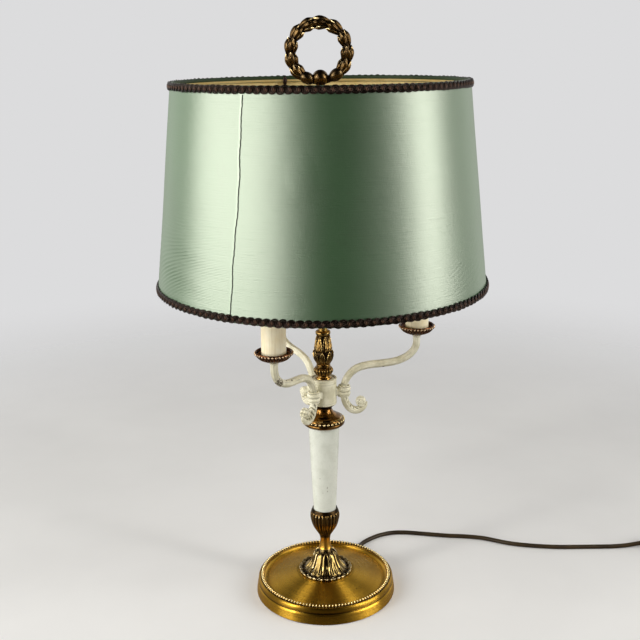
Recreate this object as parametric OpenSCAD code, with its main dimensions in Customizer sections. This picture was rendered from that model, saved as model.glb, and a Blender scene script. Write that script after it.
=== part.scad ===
// Three-light table lamp of the bouillotte type: weighted round foot, turned stem,
// three fixed scroll arms with candle sleeves, a drum shade that slides and turns
// on the centre rod, a wreath finial and a mains lead with an in-line switch.
// Millimetres, +Z up, -Y to the front. The origin is the centre of the foot
// at the surface that the lamp stands on.

/* [Base] */
// Outside radius of the foot at its lower edge
base_r = 80; // [79:0.5:84]
// Outside radius of the leaf-shaped collar on the foot
leaf_r = 30.4; // [28:0.2:32]

/* [Stem] */
// Radius of the painted column at its lower end
column_r0 = 12.4; // [11:0.2:12.8]
// Radius of the painted column at its upper end
column_r1 = 17.3; // [16.5:0.1:17.4]
// Radius of the hub that carries the arms
hub_r = 14.3; // [14:0.1:14.8]

/* [Arms] */
// Distance from the lamp's axis to each candle
arm_reach = 102; // [100:1:106]
// Direction of the first arm, counted from +X
arm_turn = 1; // [0:1:119]
// Radius of the arm where it carries the candle
arm_r = 3.9; // [3.6:0.1:4.4]
// Outside radius of a candle sleeve
sleeve_r = 12.5; // [12.4:0.1:12.8]
// Height of a candle sleeve
sleeve_h = 92.8; // [92:0.4:100]

/* [Shade] */
// Outside radius of the shade at its lower edge, braid included
shade_r0 = 175; // [165:1:185]
// Outside radius of the shade at its upper edge, braid included
shade_r1 = 152.4; // [150:0.2:156]
// Thickness of the laminated shade cover
cover_t = 0.6; // [0.4:0.1:0.6]
// Thickness of the braid that borders the shade
braid_t = 1.4; // [1:0.1:2]
// Width of the braid
braid_w = 8; // [6:0.5:10]
// Radius of the ring wire
ring_wire_r = 1.5; // [1.4:0.1:1.5]

/* [Finial] */
// Radius of the wreath's ring line
wreath_r = 27.4; // [26:0.2:29]
// Half thickness of the wreath
wreath_t = 6; // [5:0.2:6.6]
// Radius of the ball under the wreath
ball_r = 8.25; // [7.5:0.25:8.5]

/* [Lead] */
// Radius of the mains lead
cord_r = 2.7; // [2.5:0.1:2.7]
// Radius of a plug pin
pin_r = 2; // [1.9:0.1:2.4]

/* [Hidden] */
eps = 0.01;
rod_r = 5;
bore_r = 5.05;
arm_dirs = [arm_turn, arm_turn + 120, arm_turn + 240];
shade_z0 = 365.2;
shade_z1 = 577.4;
cone = (shade_r0 - shade_r1) / (shade_z1 - shade_z0);
function cover_out(z) = shade_r0 - braid_t - (z - shade_z0) * cone;
function cover_in(z) = cover_out(z) - cover_t;
spider_dirs = [106, 226, 346];
wreath_z = 606;
ball_z = 579;
exit_dir = 64;
exit_z = 6.5;
relief_drop = 8.5;
relief_l = 20.5;
relief_base = 80.5;
// Tip of the strain relief, where the free lead starts
tip = [(relief_base + relief_l * cos(relief_drop)) * cos(exit_dir),
       (relief_base + relief_l * cos(relief_drop)) * sin(exit_dir),
       exit_z - relief_l * sin(relief_drop)];
switch_at = [445, 82];
coil_at = [535, 41.6];
// Centre of the lead's end in the plug's strain relief; the plug points to -Y from there
plug_at = [572, -22];
// Route of the lead from the strain relief to the switch
run_path = [tip, [48, 98, 2.9], [53, 104, cord_r], [60, 110.5, cord_r], [68, 116.5, cord_r],
    [77, 121, cord_r], [86, 124, cord_r], [95, 125, cord_r], [105, 124.5, cord_r],
    [117, 122.5, cord_r], [130, 120, cord_r], [145, 117, cord_r], [160, 114.5, cord_r],
    [175, 113, cord_r], [190, 110.5, cord_r], [203, 107, cord_r], [214, 102, cord_r],
    [225, 96.5, cord_r], [238, 91.5, cord_r], [252, 88, cord_r], [268, 85, cord_r],
    [284, 83, cord_r], [300, 82, cord_r], [316, 82, cord_r], [332, 82, cord_r],
    [348, 82, cord_r], [364, 82, 3], [378, 82, 4.2], [392, 82, 6.6], [402, 82, 8.4], [409.8, 82, 9]];
// Route of the lead from the switch to the coil
link_path = [[480.2, 82, 9], [485, 82, 8.8], [491, 82, 7.6], [499, 82, 5], [508, 82, 3.4], [517, 82, cord_r]];
// Route of the lead from the coil to the plug
tail_path = [[plug_at[0], 24, 8], [plug_at[0], 12, 7.8], [plug_at[0], 0, 7.2], [plug_at[0], -11, 6.85],
    [plug_at[0], plug_at[1], 6.75]];
// Centre line of an arm in its own upright plane, from the volute to the candle
arm_path = [[40, 231], [43, 229.4], [44.6, 225.8], [43, 221.8], [38.4, 219.2], [33, 219.2],
    [28.2, 221.8], [24.6, 226.4], [22.4, 232], [21.6, 238], [21.7, 244], [22.8, 250],
    [25.4, 256], [29.4, 260.8], [34.5, 264.8], [40.5, 268], [48, 270.6], [57, 272.3],
    [67, 273.8], [77, 275.8], [86, 278.8], [93.4, 283], [98.6, 288.4], [101.4, 294], [arm_reach, 299]];
// Radius of the arm at each of those points
arm_radii = [3, 3.4, 4, 4.6, 5, 5.2, 5.2, 5, 4.8, 4.6, 4.4, 4.2, 4.1, 4, 3.9, 3.9, 3.8, 3.8,
    3.8, 3.8, 3.9, 3.9, arm_r, arm_r, arm_r];

function unit(v) = v / norm(v);
function along(p, i) = unit(p[min(i + 1, len(p) - 1)] - p[max(i - 1, 0)]);
function ring_of(c, t, up, r, n) = let (s = unit(cross(t, up)), u = cross(s, t))
    [for (k = [0:n - 1]) c + r * (cos(360 * k / n) * s + sin(360 * k / n) * u)];

// A round tube swept along a list of points, all of it one closed body
module swept(p, r, up, n) {
    m = len(p);
    pts = [for (i = [0:m - 1]) each ring_of(p[i], along(p, i), up, is_list(r) ? r[i] : r, n)];
    polyhedron(points = pts, faces = concat(
        [[for (k = [n - 1:-1:0]) k]],
        [[for (k = [0:n - 1]) (m - 1) * n + k]],
        [for (i = [0:m - 2], k = [0:n - 1])
            [i * n + k, i * n + (k + 1) % n, (i + 1) * n + (k + 1) % n, (i + 1) * n + k]]),
        convexity = 6);
}

module turned(points, n = 96) { rotate_extrude($fn = n) polygon(points); }

// Places its child at a candle, or along an arm
module at_arm(i) { rotate([0, 0, arm_dirs[i]]) children(); }
module at_candle(i) { at_arm(i) translate([arm_reach, 0, 0]) children(); }

// ---------------------------------------------------------------- base

module base_shell() {
    color("goldenrod") difference() {
        turned([[5.1, 24], [31, 24], [33.5, 23.7], [40, 22.1], [50, 19.7], [60, 17.4], [67.5, 15.8],
            [69.6, 15.5], [71, 16], [71.8, 17], [72.2, 18.2], [75.4, 18.2], [75.5, 19.2], [76.6, 18.7],
            [77.7, 17.2], [78, 15.2], [77.6, 13.5], [76.7, 12.6], [77.7, 11.9], [78.7, 10.4],
            [base_r - 0.2, 3], [base_r, 1], [base_r - 0.2, 0.4], [78.8, 0.4], [78.6, 3], [77.5, 10],
            [76.3, 11.4], [75.4, 12.6], [76.4, 13.8], [76.7, 15], [76.2, 16.4], [75.4, 17], [73.2, 17],
            [72.8, 16.2], [71.6, 14.8], [69.6, 14.2], [67.5, 14.5], [60, 16.2], [50, 18.5],
            [40, 20.9], [33, 22.5], [31, 22.8], [5.1, 22.8]], 128);
        rotate([0, 0, exit_dir]) translate([70, 0, exit_z]) rotate([0, 90, 0]) cylinder(h = 15, r = 4, $fn = 32);
    }
}

module base_bead_ring() {
    color("gold") rotate_extrude($fn = 128) {
        translate([73.9, 19.6]) circle(r = 1.4, $fn = 24);
        translate([72.7, 18.2]) square([2.4, 1.4]);
    }
}

module base_weight() {
    color("dimgray") difference() {
        turned([[5.1, 15], [18, 15], [18, 1.5], [74.4, 1.5], [74.4, 11.6], [72.4, 13.4], [70.5, 13.8],
            [67.5, 14.1], [60, 15.8], [50, 18.1], [40, 20.5], [31, 22.4], [5.1, 22.4]]);
        rotate([0, 0, exit_dir]) translate([14, -4, 1]) cube([64, 8, 9.4]);
    }
}

module base_felt() { color("darkgreen") cylinder(h = 1.5, r = 78.4, $fn = 96); }

module base_washer() {
    color("silver") translate([0, 0, 13.4]) difference() {
        cylinder(h = 1.6, r = 15, $fn = 48);
        translate([0, 0, -1]) cylinder(h = 4, r = bore_r, $fn = 48);
    }
}

module hex_nut(z, h) {
    translate([0, 0, z]) difference() {
        cylinder(h = h, r = 8.6, $fn = 6);
        translate([0, 0, -1]) cylinder(h = h + 2, r = bore_r, $fn = 48);
    }
}

module base_nut() { color("silver") hex_nut(9.9, 3.5); }

// The strain relief: a flanged bush in the wall and a tapered tail
module cord_bushing() {
    color("saddlebrown") rotate([0, 0, exit_dir]) difference() {
        union() {
            translate([75.6, 0, exit_z]) rotate([0, 90, 0]) cylinder(h = 4.6, r = 3.95, $fn = 32);
            translate([79.9, 0, exit_z]) rotate([0, 90, 0]) cylinder(h = 1.6, r = 5.4, $fn = 32);
            translate([relief_base, 0, exit_z]) rotate([0, 90 + relief_drop, 0]) translate([0, 0, 0.25])
                cylinder(h = relief_l - 0.25, r1 = 4.8, r2 = 3.35, $fn = 32);
        }
        translate([70, 0, exit_z]) rotate([0, 90, 0]) cylinder(h = relief_base - 70 + 0.2, r = cord_r + 0.3, $fn = 32);
        translate([relief_base, 0, exit_z]) rotate([0, 90 + relief_drop, 0]) translate([0, 0, -1])
            cylinder(h = relief_l + 2, r = cord_r + 0.05, $fn = 32);
    }
}

// The lead inside the lamp: from the strain relief to the middle and up the tie tube
module inner_cable() {
    color("olive") rotate([0, 0, exit_dir]) swept(
        [[relief_base + relief_l * cos(relief_drop), 0, exit_z - relief_l * sin(relief_drop)],
         [relief_base, 0, exit_z], [72, 0, exit_z], [52, 0, 5.5], [32, 0, 4.7], [14, 0, 4.4], [8, 0, 4.4],
         [5, 0, 4.8], [2.7, 0, 6], [1, 0, 8], [0.2, 0, 10.4], [0, 0, 14], [0, 0, 242]],
        cord_r, [0, 1, 0], 10);
}

// ---------------------------------------------------------------- stem

module tie_tube() {
    color("silver") translate([0, 0, 9.5]) difference() {
        cylinder(h = 256.5, r = rod_r, $fn = 48);
        translate([0, 0, -1]) cylinder(h = 240, r = 3.5, $fn = 48);
    }
}

module leaf_foot() {
    color("darkgoldenrod") difference() {
        turned([[bore_r, 24], [leaf_r - 1, 24], [leaf_r, 24.6], [leaf_r, 26], [leaf_r - 1.8, 27.5],
            [25, 29.4], [20.5, 32], [16, 35.5], [12.4, 39.5], [9.8, 43.5], [8.2, 47], [7.2, 50],
            [6.9, 51.5], [bore_r, 51.5]]);
        turned([[8, 23], [26, 23], [26, 24], [22, 27], [14, 33], [9, 39], [8, 39]]);
    }
}

module foot_spool() {
    color("goldenrod") turned([[bore_r, 51.5], [7.2, 51.5], [7.4, 52.4], [6.6, 54], [6.1, 57.5], [6.1, 61],
        [6.5, 64.2], [7.2, 65.6], [7.2, 66.5], [bore_r, 66.5]], 64);
}

module fluted_cup() {
    color("sienna") turned([[bore_r, 66.5], [6.4, 66.5], [6.6, 67.5], [7.4, 69.5], [9.6, 73.5], [12.6, 79],
        [14.8, 84.5], [16, 90], [16.1, 94], [15.4, 98.5], [14.2, 102], [13.9, 102.5], [13.3, 102.3],
        [13.1, 100], [13.1, 92], [bore_r, 92]]);
}

// Hollow painted column, closed at its foot
module column() {
    color("honeydew") turned([[5.1, 92], [column_r0, 92], [column_r1, 204], [column_r1 - 1.1, 204],
        [column_r0 - 1.1, 94], [5.1, 94]]);
}

module column_cap() {
    color("darkgoldenrod") {
        turned([[5.1, 200], [column_r1 - 1.4, 200], [column_r1 - 1.4, 204], [18.4, 204], [20.6, 204.4], [22.4, 205.8],
            [23.2, 207.4], [23, 208.8], [22, 209.4], [22, 212], [21.4, 213.2], [18, 215], [14, 217],
            [11, 219.4], [9.4, 221.8], [8.8, 223.6], [8.8, 225.4], [9.6, 226.2], [12.8, 226.8],
            [13.2, 227.6], [13, 228.6], [12.4, 229], [5.1, 229]]);
        rotate_extrude($fn = 96) translate([22, 210.7]) circle(r = 1.6, $fn = 24);
    }
}

// Hollow hub with a screw hole for each arm
module arm_hub() {
    color("ivory") difference() {
        translate([0, 0, 229]) cylinder(h = 28, r = hub_r, $fn = 96);
        translate([0, 0, 232]) cylinder(h = 30, r = 12.5, $fn = 96);
        translate([0, 0, 228]) cylinder(h = 10, r = 5.1, $fn = 48);
        for (a = arm_dirs) rotate([0, 0, a]) translate([10, 0, 243.5]) rotate([0, 90, 0]) cylinder(h = 8, r = 1.6, $fn = 24);
    }
}

module hub_nut() { color("silver") hex_nut(232, 5); }

module hub_lid() {
    color("ivory") turned([[5.1, 255.5], [12.45, 255.5], [12.45, 257], [14.5, 257], [14.9, 257.8], [14.6, 258.8],
        [13.7, 259.2], [12.6, 258.8], [11.8, 258.2], [5.1, 258.2]]);
}

// Three screws that hold the arms, driven from inside the hub
module arm_screws() {
    color("silver") for (a = arm_dirs) rotate([0, 0, a]) translate([0, 0, 243.5]) rotate([0, 90, 0]) {
        translate([0, 0, 9.8]) cylinder(h = 2.4, r = 3.2, $fn = 24);
        translate([0, 0, 12]) cylinder(h = 7, r = 1.55, $fn = 24);
    }
}

module knop() {
    color("darkgoldenrod") turned([[bore_r, 258.2], [8.7, 258.2], [8.9, 259], [8.5, 260.2], [7.2, 261], [6.8, 262],
        [7.4, 263], [9.4, 264.8], [10.6, 267.2], [10.3, 269.6], [8.6, 271.6], [7.4, 272.2], [7.9, 272.8],
        [8, 273.6], [7.4, 274.4], [6.9, 275], [bore_r, 275]]);
}

module baluster() {
    color("darkgoldenrod") turned([[bore_r, 275], [6.9, 275], [7.6, 276.6], [9.4, 279.6], [10.6, 283.4], [10.8, 286],
        [10.6, 289.5], [10.2, 291], [9.6, 295], [8.6, 300], [7.6, 304.5], [7.1, 307.5], [7, 308.4],
        [7.8, 309.2], [8.3, 310.6], [8.2, 312], [7.4, 313], [6.4, 313.4], [bore_r, 313.4]]);
}

// Centre rod with a threaded hole for the finial
module shade_rod() {
    color("goldenrod") translate([0, 0, 266]) difference() {
        cylinder(h = 302.5, r = rod_r, $fn = 48);
        translate([0, 0, 286]) cylinder(h = 20, r = 3.05, $fn = 48);
    }
}

// ---------------------------------------------------------------- arms and candles

// Scroll arm: volute, banded boss against the hub, and a socket for the nipple
module scroll_arm(i) {
    color("ivory") at_arm(i) difference() {
        union() {
            swept([for (q = arm_path) [q[0], 0, q[1]]], arm_radii, [0, 1, 0], 12);
            translate([40, 0, 231]) sphere(r = 5.2, $fn = 32);
            translate([arm_reach, 0, 298.5]) cylinder(h = 8.5, r = arm_r, $fn = 32);
            for (z = [237.2, 241.6, 246]) translate([21.7, 0, z]) cylinder(h = 3.8, r = 6, $fn = 32);
            translate([21.7, 0, 237.6]) cylinder(h = 12, r = 5.5, $fn = 32);
            translate([hub_r - 1, 0, 243.5]) rotate([0, 90, 0]) cylinder(h = 6, r = 5, $fn = 32);
        }
        translate([0, 0, 230]) cylinder(h = 26, r = hub_r, $fn = 96);
        translate([10, 0, 243.5]) rotate([0, 90, 0]) cylinder(h = 10, r = 1.6, $fn = 24);
        translate([arm_reach, 0, 300]) cylinder(h = 9, r = 2.55, $fn = 24);
    }
}
module arm_right() { scroll_arm(0); }
module arm_back_left() { scroll_arm(1); }
module arm_front_left() { scroll_arm(2); }

// Three threaded nipples that clamp drip pan and lampholder on the arm
module arm_nipples() {
    color("silver") for (i = [0:2]) at_candle(i) translate([0, 0, 300]) cylinder(h = 17, r = 2.5, $fn = 24);
}

module drip_pan(i) {
    color("saddlebrown") at_candle(i) turned([[2.55, 307], [6.5, 307], [7.5, 308.4], [11, 309.1], [15, 310.9],
        [18, 313.9], [19.3, 316.2], [19.4, 317.4], [18.6, 318.4], [17.5, 317.8], [16.8, 315.4], [14, 312.6],
        [13, 312], [12.9, 311.2], [2.55, 311.2]], 64);
}
module drip_pan_right() { drip_pan(0); }
module drip_pan_back_left() { drip_pan(1); }
module drip_pan_front_left() { drip_pan(2); }

// Small-thread lampholder on its own foot, open at the top for the bulb
module lampholder(i) {
    color("black") at_candle(i) turned([[2.55, 311.2], [9, 311.2], [9, 313.7], [4.5, 313.7], [4.5, 366],
        [11.3, 366], [11.3, 402], [7.05, 402], [7.05, 376], [0, 376], [0, 318], [2.55, 318]], 64);
}
module lampholder_right() { lampholder(0); }
module lampholder_back_left() { lampholder(1); }
module lampholder_front_left() { lampholder(2); }

module candle_sleeve(i) {
    color("cornsilk") at_candle(i) translate([0, 0, 311.2]) difference() {
        cylinder(h = sleeve_h, r = sleeve_r, $fn = 64);
        translate([0, 0, -1]) cylinder(h = sleeve_h + 2, r = 11.7, $fn = 64);
    }
}
module sleeve_right() { candle_sleeve(0); }
module sleeve_back_left() { candle_sleeve(1); }
module sleeve_front_left() { candle_sleeve(2); }

module bulb(i) {
    color("whitesmoke", 0.6) at_candle(i) turned([[0, 400.5], [6.6, 400.5], [6.8, 402], [8.4, 405], [12.5, 411],
        [15.8, 418], [17.3, 425], [17.4, 430], [16.4, 438], [13.8, 447], [10.4, 456], [6.6, 465],
        [3.6, 472], [1.6, 476], [0, 477]], 64);
}
module bulb_right() { bulb(0); }
module bulb_back_left() { bulb(1); }
module bulb_front_left() { bulb(2); }

module bulb_caps() {
    color("silver") for (i = [0:2]) at_candle(i) {
        translate([0, 0, 378.6]) cylinder(h = 21.9, r = 6.9, $fn = 48);
        translate([0, 0, 376.4]) cylinder(h = 2.4, r = 3.2, $fn = 32);
    }
}

// ---------------------------------------------------------------- shade

// Collar that slides on the rod and carries the shade
module shade_carrier() {
    color("goldenrod") difference() {
        union() {
            translate([0, 0, 549]) cylinder(h = 14.2, r = 9, $fn = 64);
            translate([0, 0, 563]) cylinder(h = 1.7, r = 11, $fn = 64);
            rotate([0, 0, 166]) translate([4, 0, 556]) rotate([0, 90, 0]) cylinder(h = 9, r = 4, $fn = 32);
        }
        translate([0, 0, 540]) cylinder(h = 30, r = 5.06, $fn = 64);
        rotate([0, 0, 166]) translate([4, 0, 556]) rotate([0, 90, 0]) cylinder(h = 12, r = 1.56, $fn = 32);
    }
}

// Screw that locks the collar on the rod
module thumb_screw() {
    color("gold") rotate([0, 0, 166]) translate([0, 0, 556]) rotate([0, 90, 0]) {
        translate([0, 0, 5.3]) cylinder(h = 12, r = 1.5, $fn = 32);
        translate([0, 0, 16]) cylinder(h = 2, r = 3.2, $fn = 32);
        difference() {
            translate([0, 0, 17.8]) cylinder(h = 4.4, r = 7, $fn = 48);
            for (a = [0:20:359]) rotate([0, 0, a]) translate([7.2, 0, 17]) cylinder(h = 6, r = 0.6, $fn = 16);
        }
    }
}

// Centre ring of the shade and three rods to its upper ring
module shade_spider() {
    color("dimgray") difference() {
        union() {
            translate([0, 0, 565]) cylinder(h = 2.5, r = 12, $fn = 64);
            for (a = spider_dirs) rotate([0, 0, a]) {
                translate([10, 0, 566.2]) rotate([0, 90, 0]) cylinder(h = cover_in(575.2) - 10 - ring_wire_r - 0.05, r = 1.4, $fn = 24);
                translate([cover_in(575.2) - ring_wire_r - 0.05, 0, 566.2]) sphere(r = 1.4, $fn = 24);
                translate([cover_in(575.2) - ring_wire_r - 0.05, 0, 566.2]) cylinder(h = 7.6, r = 1.4, $fn = 24);
            }
        }
        translate([0, 0, 560]) cylinder(h = 12, r = 5.4, $fn = 64);
    }
}

module wire_ring(z, r) { rotate_extrude($fn = 128) translate([r, z]) circle(r = ring_wire_r, $fn = 20); }
module shade_top_ring() { color("dimgray") wire_ring(575.2, cover_in(575.2) - ring_wire_r - 0.05); }
module shade_bottom_ring() { color("dimgray") wire_ring(367.4, cover_in(367.4) - ring_wire_r - 0.1); }

// Satin cover: cone wrapped round both rings
module shade_cover() {
    t = cover_t;
    w = 2 * ring_wire_r + 0.25;
    color("darkseagreen") turned([
        [cover_out(shade_z0), shade_z0], [cover_out(shade_z1), shade_z1],
        [cover_in(shade_z1) - w - t, shade_z1], [cover_in(shade_z1) - w - t, 571], [cover_in(shade_z1) - w, 571],
        [cover_in(shade_z1) - w, shade_z1 - t], [cover_in(shade_z1 - t), shade_z1 - t],
        [cover_in(shade_z0 + t), shade_z0 + t], [cover_in(shade_z0 + t) - w - 0.4, shade_z0 + t],
        [cover_in(shade_z0 + t) - w - 0.4, 371], [cover_in(shade_z0 + t) - w - 0.4 - t, 371],
        [cover_in(shade_z0 + t) - w - 0.4 - t, shade_z0]], 160);
}

module shade_lining() {
    color("tan") turned([[cover_in(371.4) - 0.05, 371.4], [cover_in(570.4) - 0.05, 570.4],
        [cover_in(570.4) - 0.45, 570.4], [cover_in(371.4) - 0.45, 371.4]], 160);
}

module braid(z) {
    turned([[cover_out(z) + 0.02, z], [cover_out(z) + braid_t, z], [cover_out(z + braid_w) + braid_t, z + braid_w],
        [cover_out(z + braid_w) + 0.02, z + braid_w]], 160);
}
module top_braid() { color("saddlebrown") braid(shade_z1 - braid_w); }
module bottom_braid() { color("saddlebrown") braid(shade_z0); }

// ---------------------------------------------------------------- finial

// Ball with its foot and the stud that screws into the rod
module finial_ball() {
    color("darkgoldenrod") {
        translate([0, 0, ball_z]) sphere(r = ball_r, $fn = 64);
        translate([0, 0, 568.8]) cylinder(h = 1.4, r = 6.4, $fn = 48);
        translate([0, 0, 569.6]) cylinder(h = 3, r = 4.6, $fn = 48);
        translate([0, 0, 555]) cylinder(h = 15, r = 3, $fn = 48);
    }
}

module finial_wreath() {
    color("darkgoldenrod") difference() {
        translate([0, 0, wreath_z]) rotate([90, 0, 0]) rotate_extrude($fn = 96) translate([wreath_r, 0]) circle(r = wreath_t, $fn = 32);
        translate([0, 0, ball_z]) sphere(r = ball_r, $fn = 64);
    }
}

// ---------------------------------------------------------------- mains lead

module cord_run() { color("olive") swept(run_path, cord_r, [0, 0, 1], 8); }
module cord_link() { color("olive") swept(link_path, cord_r, [0, 0, 1], 8); }
module cord_tail() { color("olive") swept(tail_path, cord_r, [0, 0, 1], 8); }

// Outline of the wound length: three and a half turns under three turns
module cord_coil() {
    color("olive") translate([coil_at[0], coil_at[1], 0]) rotate_extrude($fn = 96)
        translate([18.8, 0]) square([24.4, 11]);
}

// Strap round the coil
module coil_tie() {
    color("black") translate([coil_at[0], coil_at[1], 0]) rotate([0, 0, 20]) difference() {
        translate([17.6, -4, 0]) cube([26.8, 8, 12.2]);
        translate([18.6, -5, 0.4]) cube([24.8, 10, 10.8]);
    }
}

module stadium(h, grow) {
    linear_extrude(height = h) {
        translate([-25, -13 - grow]) square([50, 26 + 2 * grow]);
        for (s = [-1, 1]) translate([25 * s, 0]) circle(r = 13 + grow, $fn = 64);
    }
}

// In-line switch in two halves, with a well for the rocker
module switch_base() {
    color("saddlebrown") translate([switch_at[0], switch_at[1], 0]) difference() {
        stadium(9, 0);
        translate([-11.6, -5.4, 6.6]) cube([23.2, 10.8, 3]);
        for (s = [-1, 1]) translate([24 * s, 0, -1]) cylinder(h = 11, r = 1.5, $fn = 24);
        for (s = [-1, 1]) translate([24 * s, 0, -1]) cylinder(h = 3.2, r = 2.8, $fn = 24);
        for (s = [-1, 1]) translate([37 * s, 0, 9]) rotate([0, 90, 0]) cylinder(h = 4, r = cord_r, center = true, $fn = 24);
    }
}

module switch_cover() {
    color("saddlebrown") translate([switch_at[0], switch_at[1], 9]) difference() {
        union() { stadium(5.5, 0); translate([0, 0, 5]) stadium(3.2, -1.6); }
        translate([-11.6, -5.4, -1]) cube([23.2, 10.8, 12]);
        translate([0, 0, 3]) rotate([90, 0, 0]) cylinder(h = 15, r = 1.25, center = true, $fn = 24);
        for (s = [-1, 1]) translate([24 * s, 0, -1]) cylinder(h = 5, r = 1.5, $fn = 24);
        for (s = [-1, 1]) translate([37 * s, 0, 0]) rotate([0, 90, 0]) cylinder(h = 4, r = cord_r, center = true, $fn = 24);
    }
}

// Rocker with its trunnions, at rest in the off position
module switch_rocker() {
    color("darkgoldenrod") translate([switch_at[0], switch_at[1], 12]) rotate([0, -7, 0]) {
        rotate([90, 0, 0]) linear_extrude(height = 10, center = true)
            polygon([[-10.5, -2.6], [10.5, -2.6], [10.5, 6.2], [0, 4.8], [-10.5, 6.2]]);
        rotate([90, 0, 0]) cylinder(h = 14, r = 1.2, center = true, $fn = 24);
    }
}

module switch_screws() {
    color("silver") for (s = [-1, 1]) translate([switch_at[0] + 24 * s, switch_at[1], 0]) {
        translate([0, 0, 0.6]) cylinder(h = 1.6, r = 2.7, $fn = 24);
        translate([0, 0, 2]) cylinder(h = 10.8, r = 1.45, $fn = 24);
    }
}

module at_plug() { translate([plug_at[0], plug_at[1], 0]) rotate([0, 0, 90]) children(); }

// Flat two-pin plug with a tapered cable end
module plug_body() {
    color("saddlebrown") at_plug() difference() {
        union() {
            translate([-58, -13, 0]) cube([24, 26, 13.5]);
            translate([-34, 0, 0]) linear_extrude(height = 13.5)
                polygon([[0, -13], [8, -8.5], [12, -5.5], [12, 5.5], [8, 8.5], [0, 13]]);
            translate([-23, 0, 6.75]) rotate([0, 90, 0]) cylinder(h = 23, r1 = 5.4, r2 = 3.4, $fn = 32);
        }
        for (s = [-1, 1]) translate([-60, 9.5 * s, 6.75]) rotate([0, 90, 0]) cylinder(h = 12.2, r = 1.5, $fn = 32);
    }
}

// Plug pins, each with a thinner root in the plug's body
module plug_pins() {
    color("silver") at_plug() for (s = [-1, 1]) translate([0, 9.5 * s, 6.75]) rotate([0, 90, 0]) {
        translate([0, 0, -77]) cylinder(h = 19, r = pin_r, $fn = 32);
        translate([0, 0, -58.5]) cylinder(h = 10.5, r = 1.5, $fn = 32);
    }
}

base_shell();
base_bead_ring();
base_weight();
base_felt();
base_washer();
base_nut();
cord_bushing();
inner_cable();
tie_tube();
leaf_foot();
foot_spool();
fluted_cup();
column();
column_cap();
arm_hub();
hub_nut();
hub_lid();
arm_screws();
knop();
baluster();
shade_rod();
arm_right();
arm_back_left();
arm_front_left();
arm_nipples();
drip_pan_right();
drip_pan_back_left();
drip_pan_front_left();
lampholder_right();
lampholder_back_left();
lampholder_front_left();
sleeve_right();
sleeve_back_left();
sleeve_front_left();
bulb_right();
bulb_back_left();
bulb_front_left();
bulb_caps();
shade_carrier();
thumb_screw();
shade_spider();
shade_top_ring();
shade_bottom_ring();
shade_cover();
shade_lining();
top_braid();
bottom_braid();
finial_ball();
finial_wreath();
cord_run();
switch_base();
switch_cover();
switch_rocker();
switch_screws();
cord_link();
cord_coil();
coil_tie();
cord_tail();
plug_body();
plug_pins();
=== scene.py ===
import math

import bmesh
import bpy
import numpy as np
from mathutils import Matrix, Vector


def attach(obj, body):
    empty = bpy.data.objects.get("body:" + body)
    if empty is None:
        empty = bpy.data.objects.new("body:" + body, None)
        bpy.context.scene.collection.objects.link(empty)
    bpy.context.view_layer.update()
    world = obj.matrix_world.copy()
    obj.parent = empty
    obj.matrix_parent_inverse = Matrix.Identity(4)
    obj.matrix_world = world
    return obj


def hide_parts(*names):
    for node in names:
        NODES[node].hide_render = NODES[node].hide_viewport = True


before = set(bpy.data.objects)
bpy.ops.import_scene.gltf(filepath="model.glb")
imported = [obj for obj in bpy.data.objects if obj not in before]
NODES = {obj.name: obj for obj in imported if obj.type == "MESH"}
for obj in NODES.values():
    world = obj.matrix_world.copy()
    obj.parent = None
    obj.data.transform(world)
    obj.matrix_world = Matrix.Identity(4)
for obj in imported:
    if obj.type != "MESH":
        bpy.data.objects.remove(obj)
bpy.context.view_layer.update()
TAU = 2 * math.pi
rad = math.radians
MM = 0.001

# ---------------------------------------------------------------- camera

cam_data = bpy.data.cameras.new("camera")
cam_data.sensor_fit = "HORIZONTAL"
cam_data.sensor_width = 36.0
cam_data.lens = 54.807
cam_data.clip_start, cam_data.clip_end = 0.05, 200.0
cam = bpy.data.objects.new("camera", cam_data)
bpy.context.scene.collection.objects.link(cam)
cam.matrix_world = (
    Matrix.Translation((-0.00308, -1.01486, 0.61014))
    @ Matrix.Rotation(rad(90 - 15.71), 4, "X")
    @ Matrix.Rotation(rad(-0.66), 4, "Z")
)
bpy.context.scene.camera = cam


# ---------------------------------------------------------------- numbers and curves


def lerp(a, b, t):
    return a + (b - a) * t


def smooth(x):
    x = np.clip(x, 0, 1)
    return x * x * (3 - 2 * x)


def bump(x, w):
    """1 at x = 0, falling smoothly to 0 at |x| = w."""
    return smooth(1 - np.abs(x) / w)


def hash01(*k):
    """A fixed number from 0 to 1 for whole numbers k."""
    h = 2166136261
    for v in k:
        h = ((h ^ (int(v) & 0xFFFFFFFF)) * 16777619) & 0xFFFFFFFF
        h ^= h >> 13
    h = (h * 2654435761) & 0xFFFFFFFF
    return ((h ^ (h >> 16)) & 0xFFFFFF) / float(0xFFFFFF)


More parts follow.
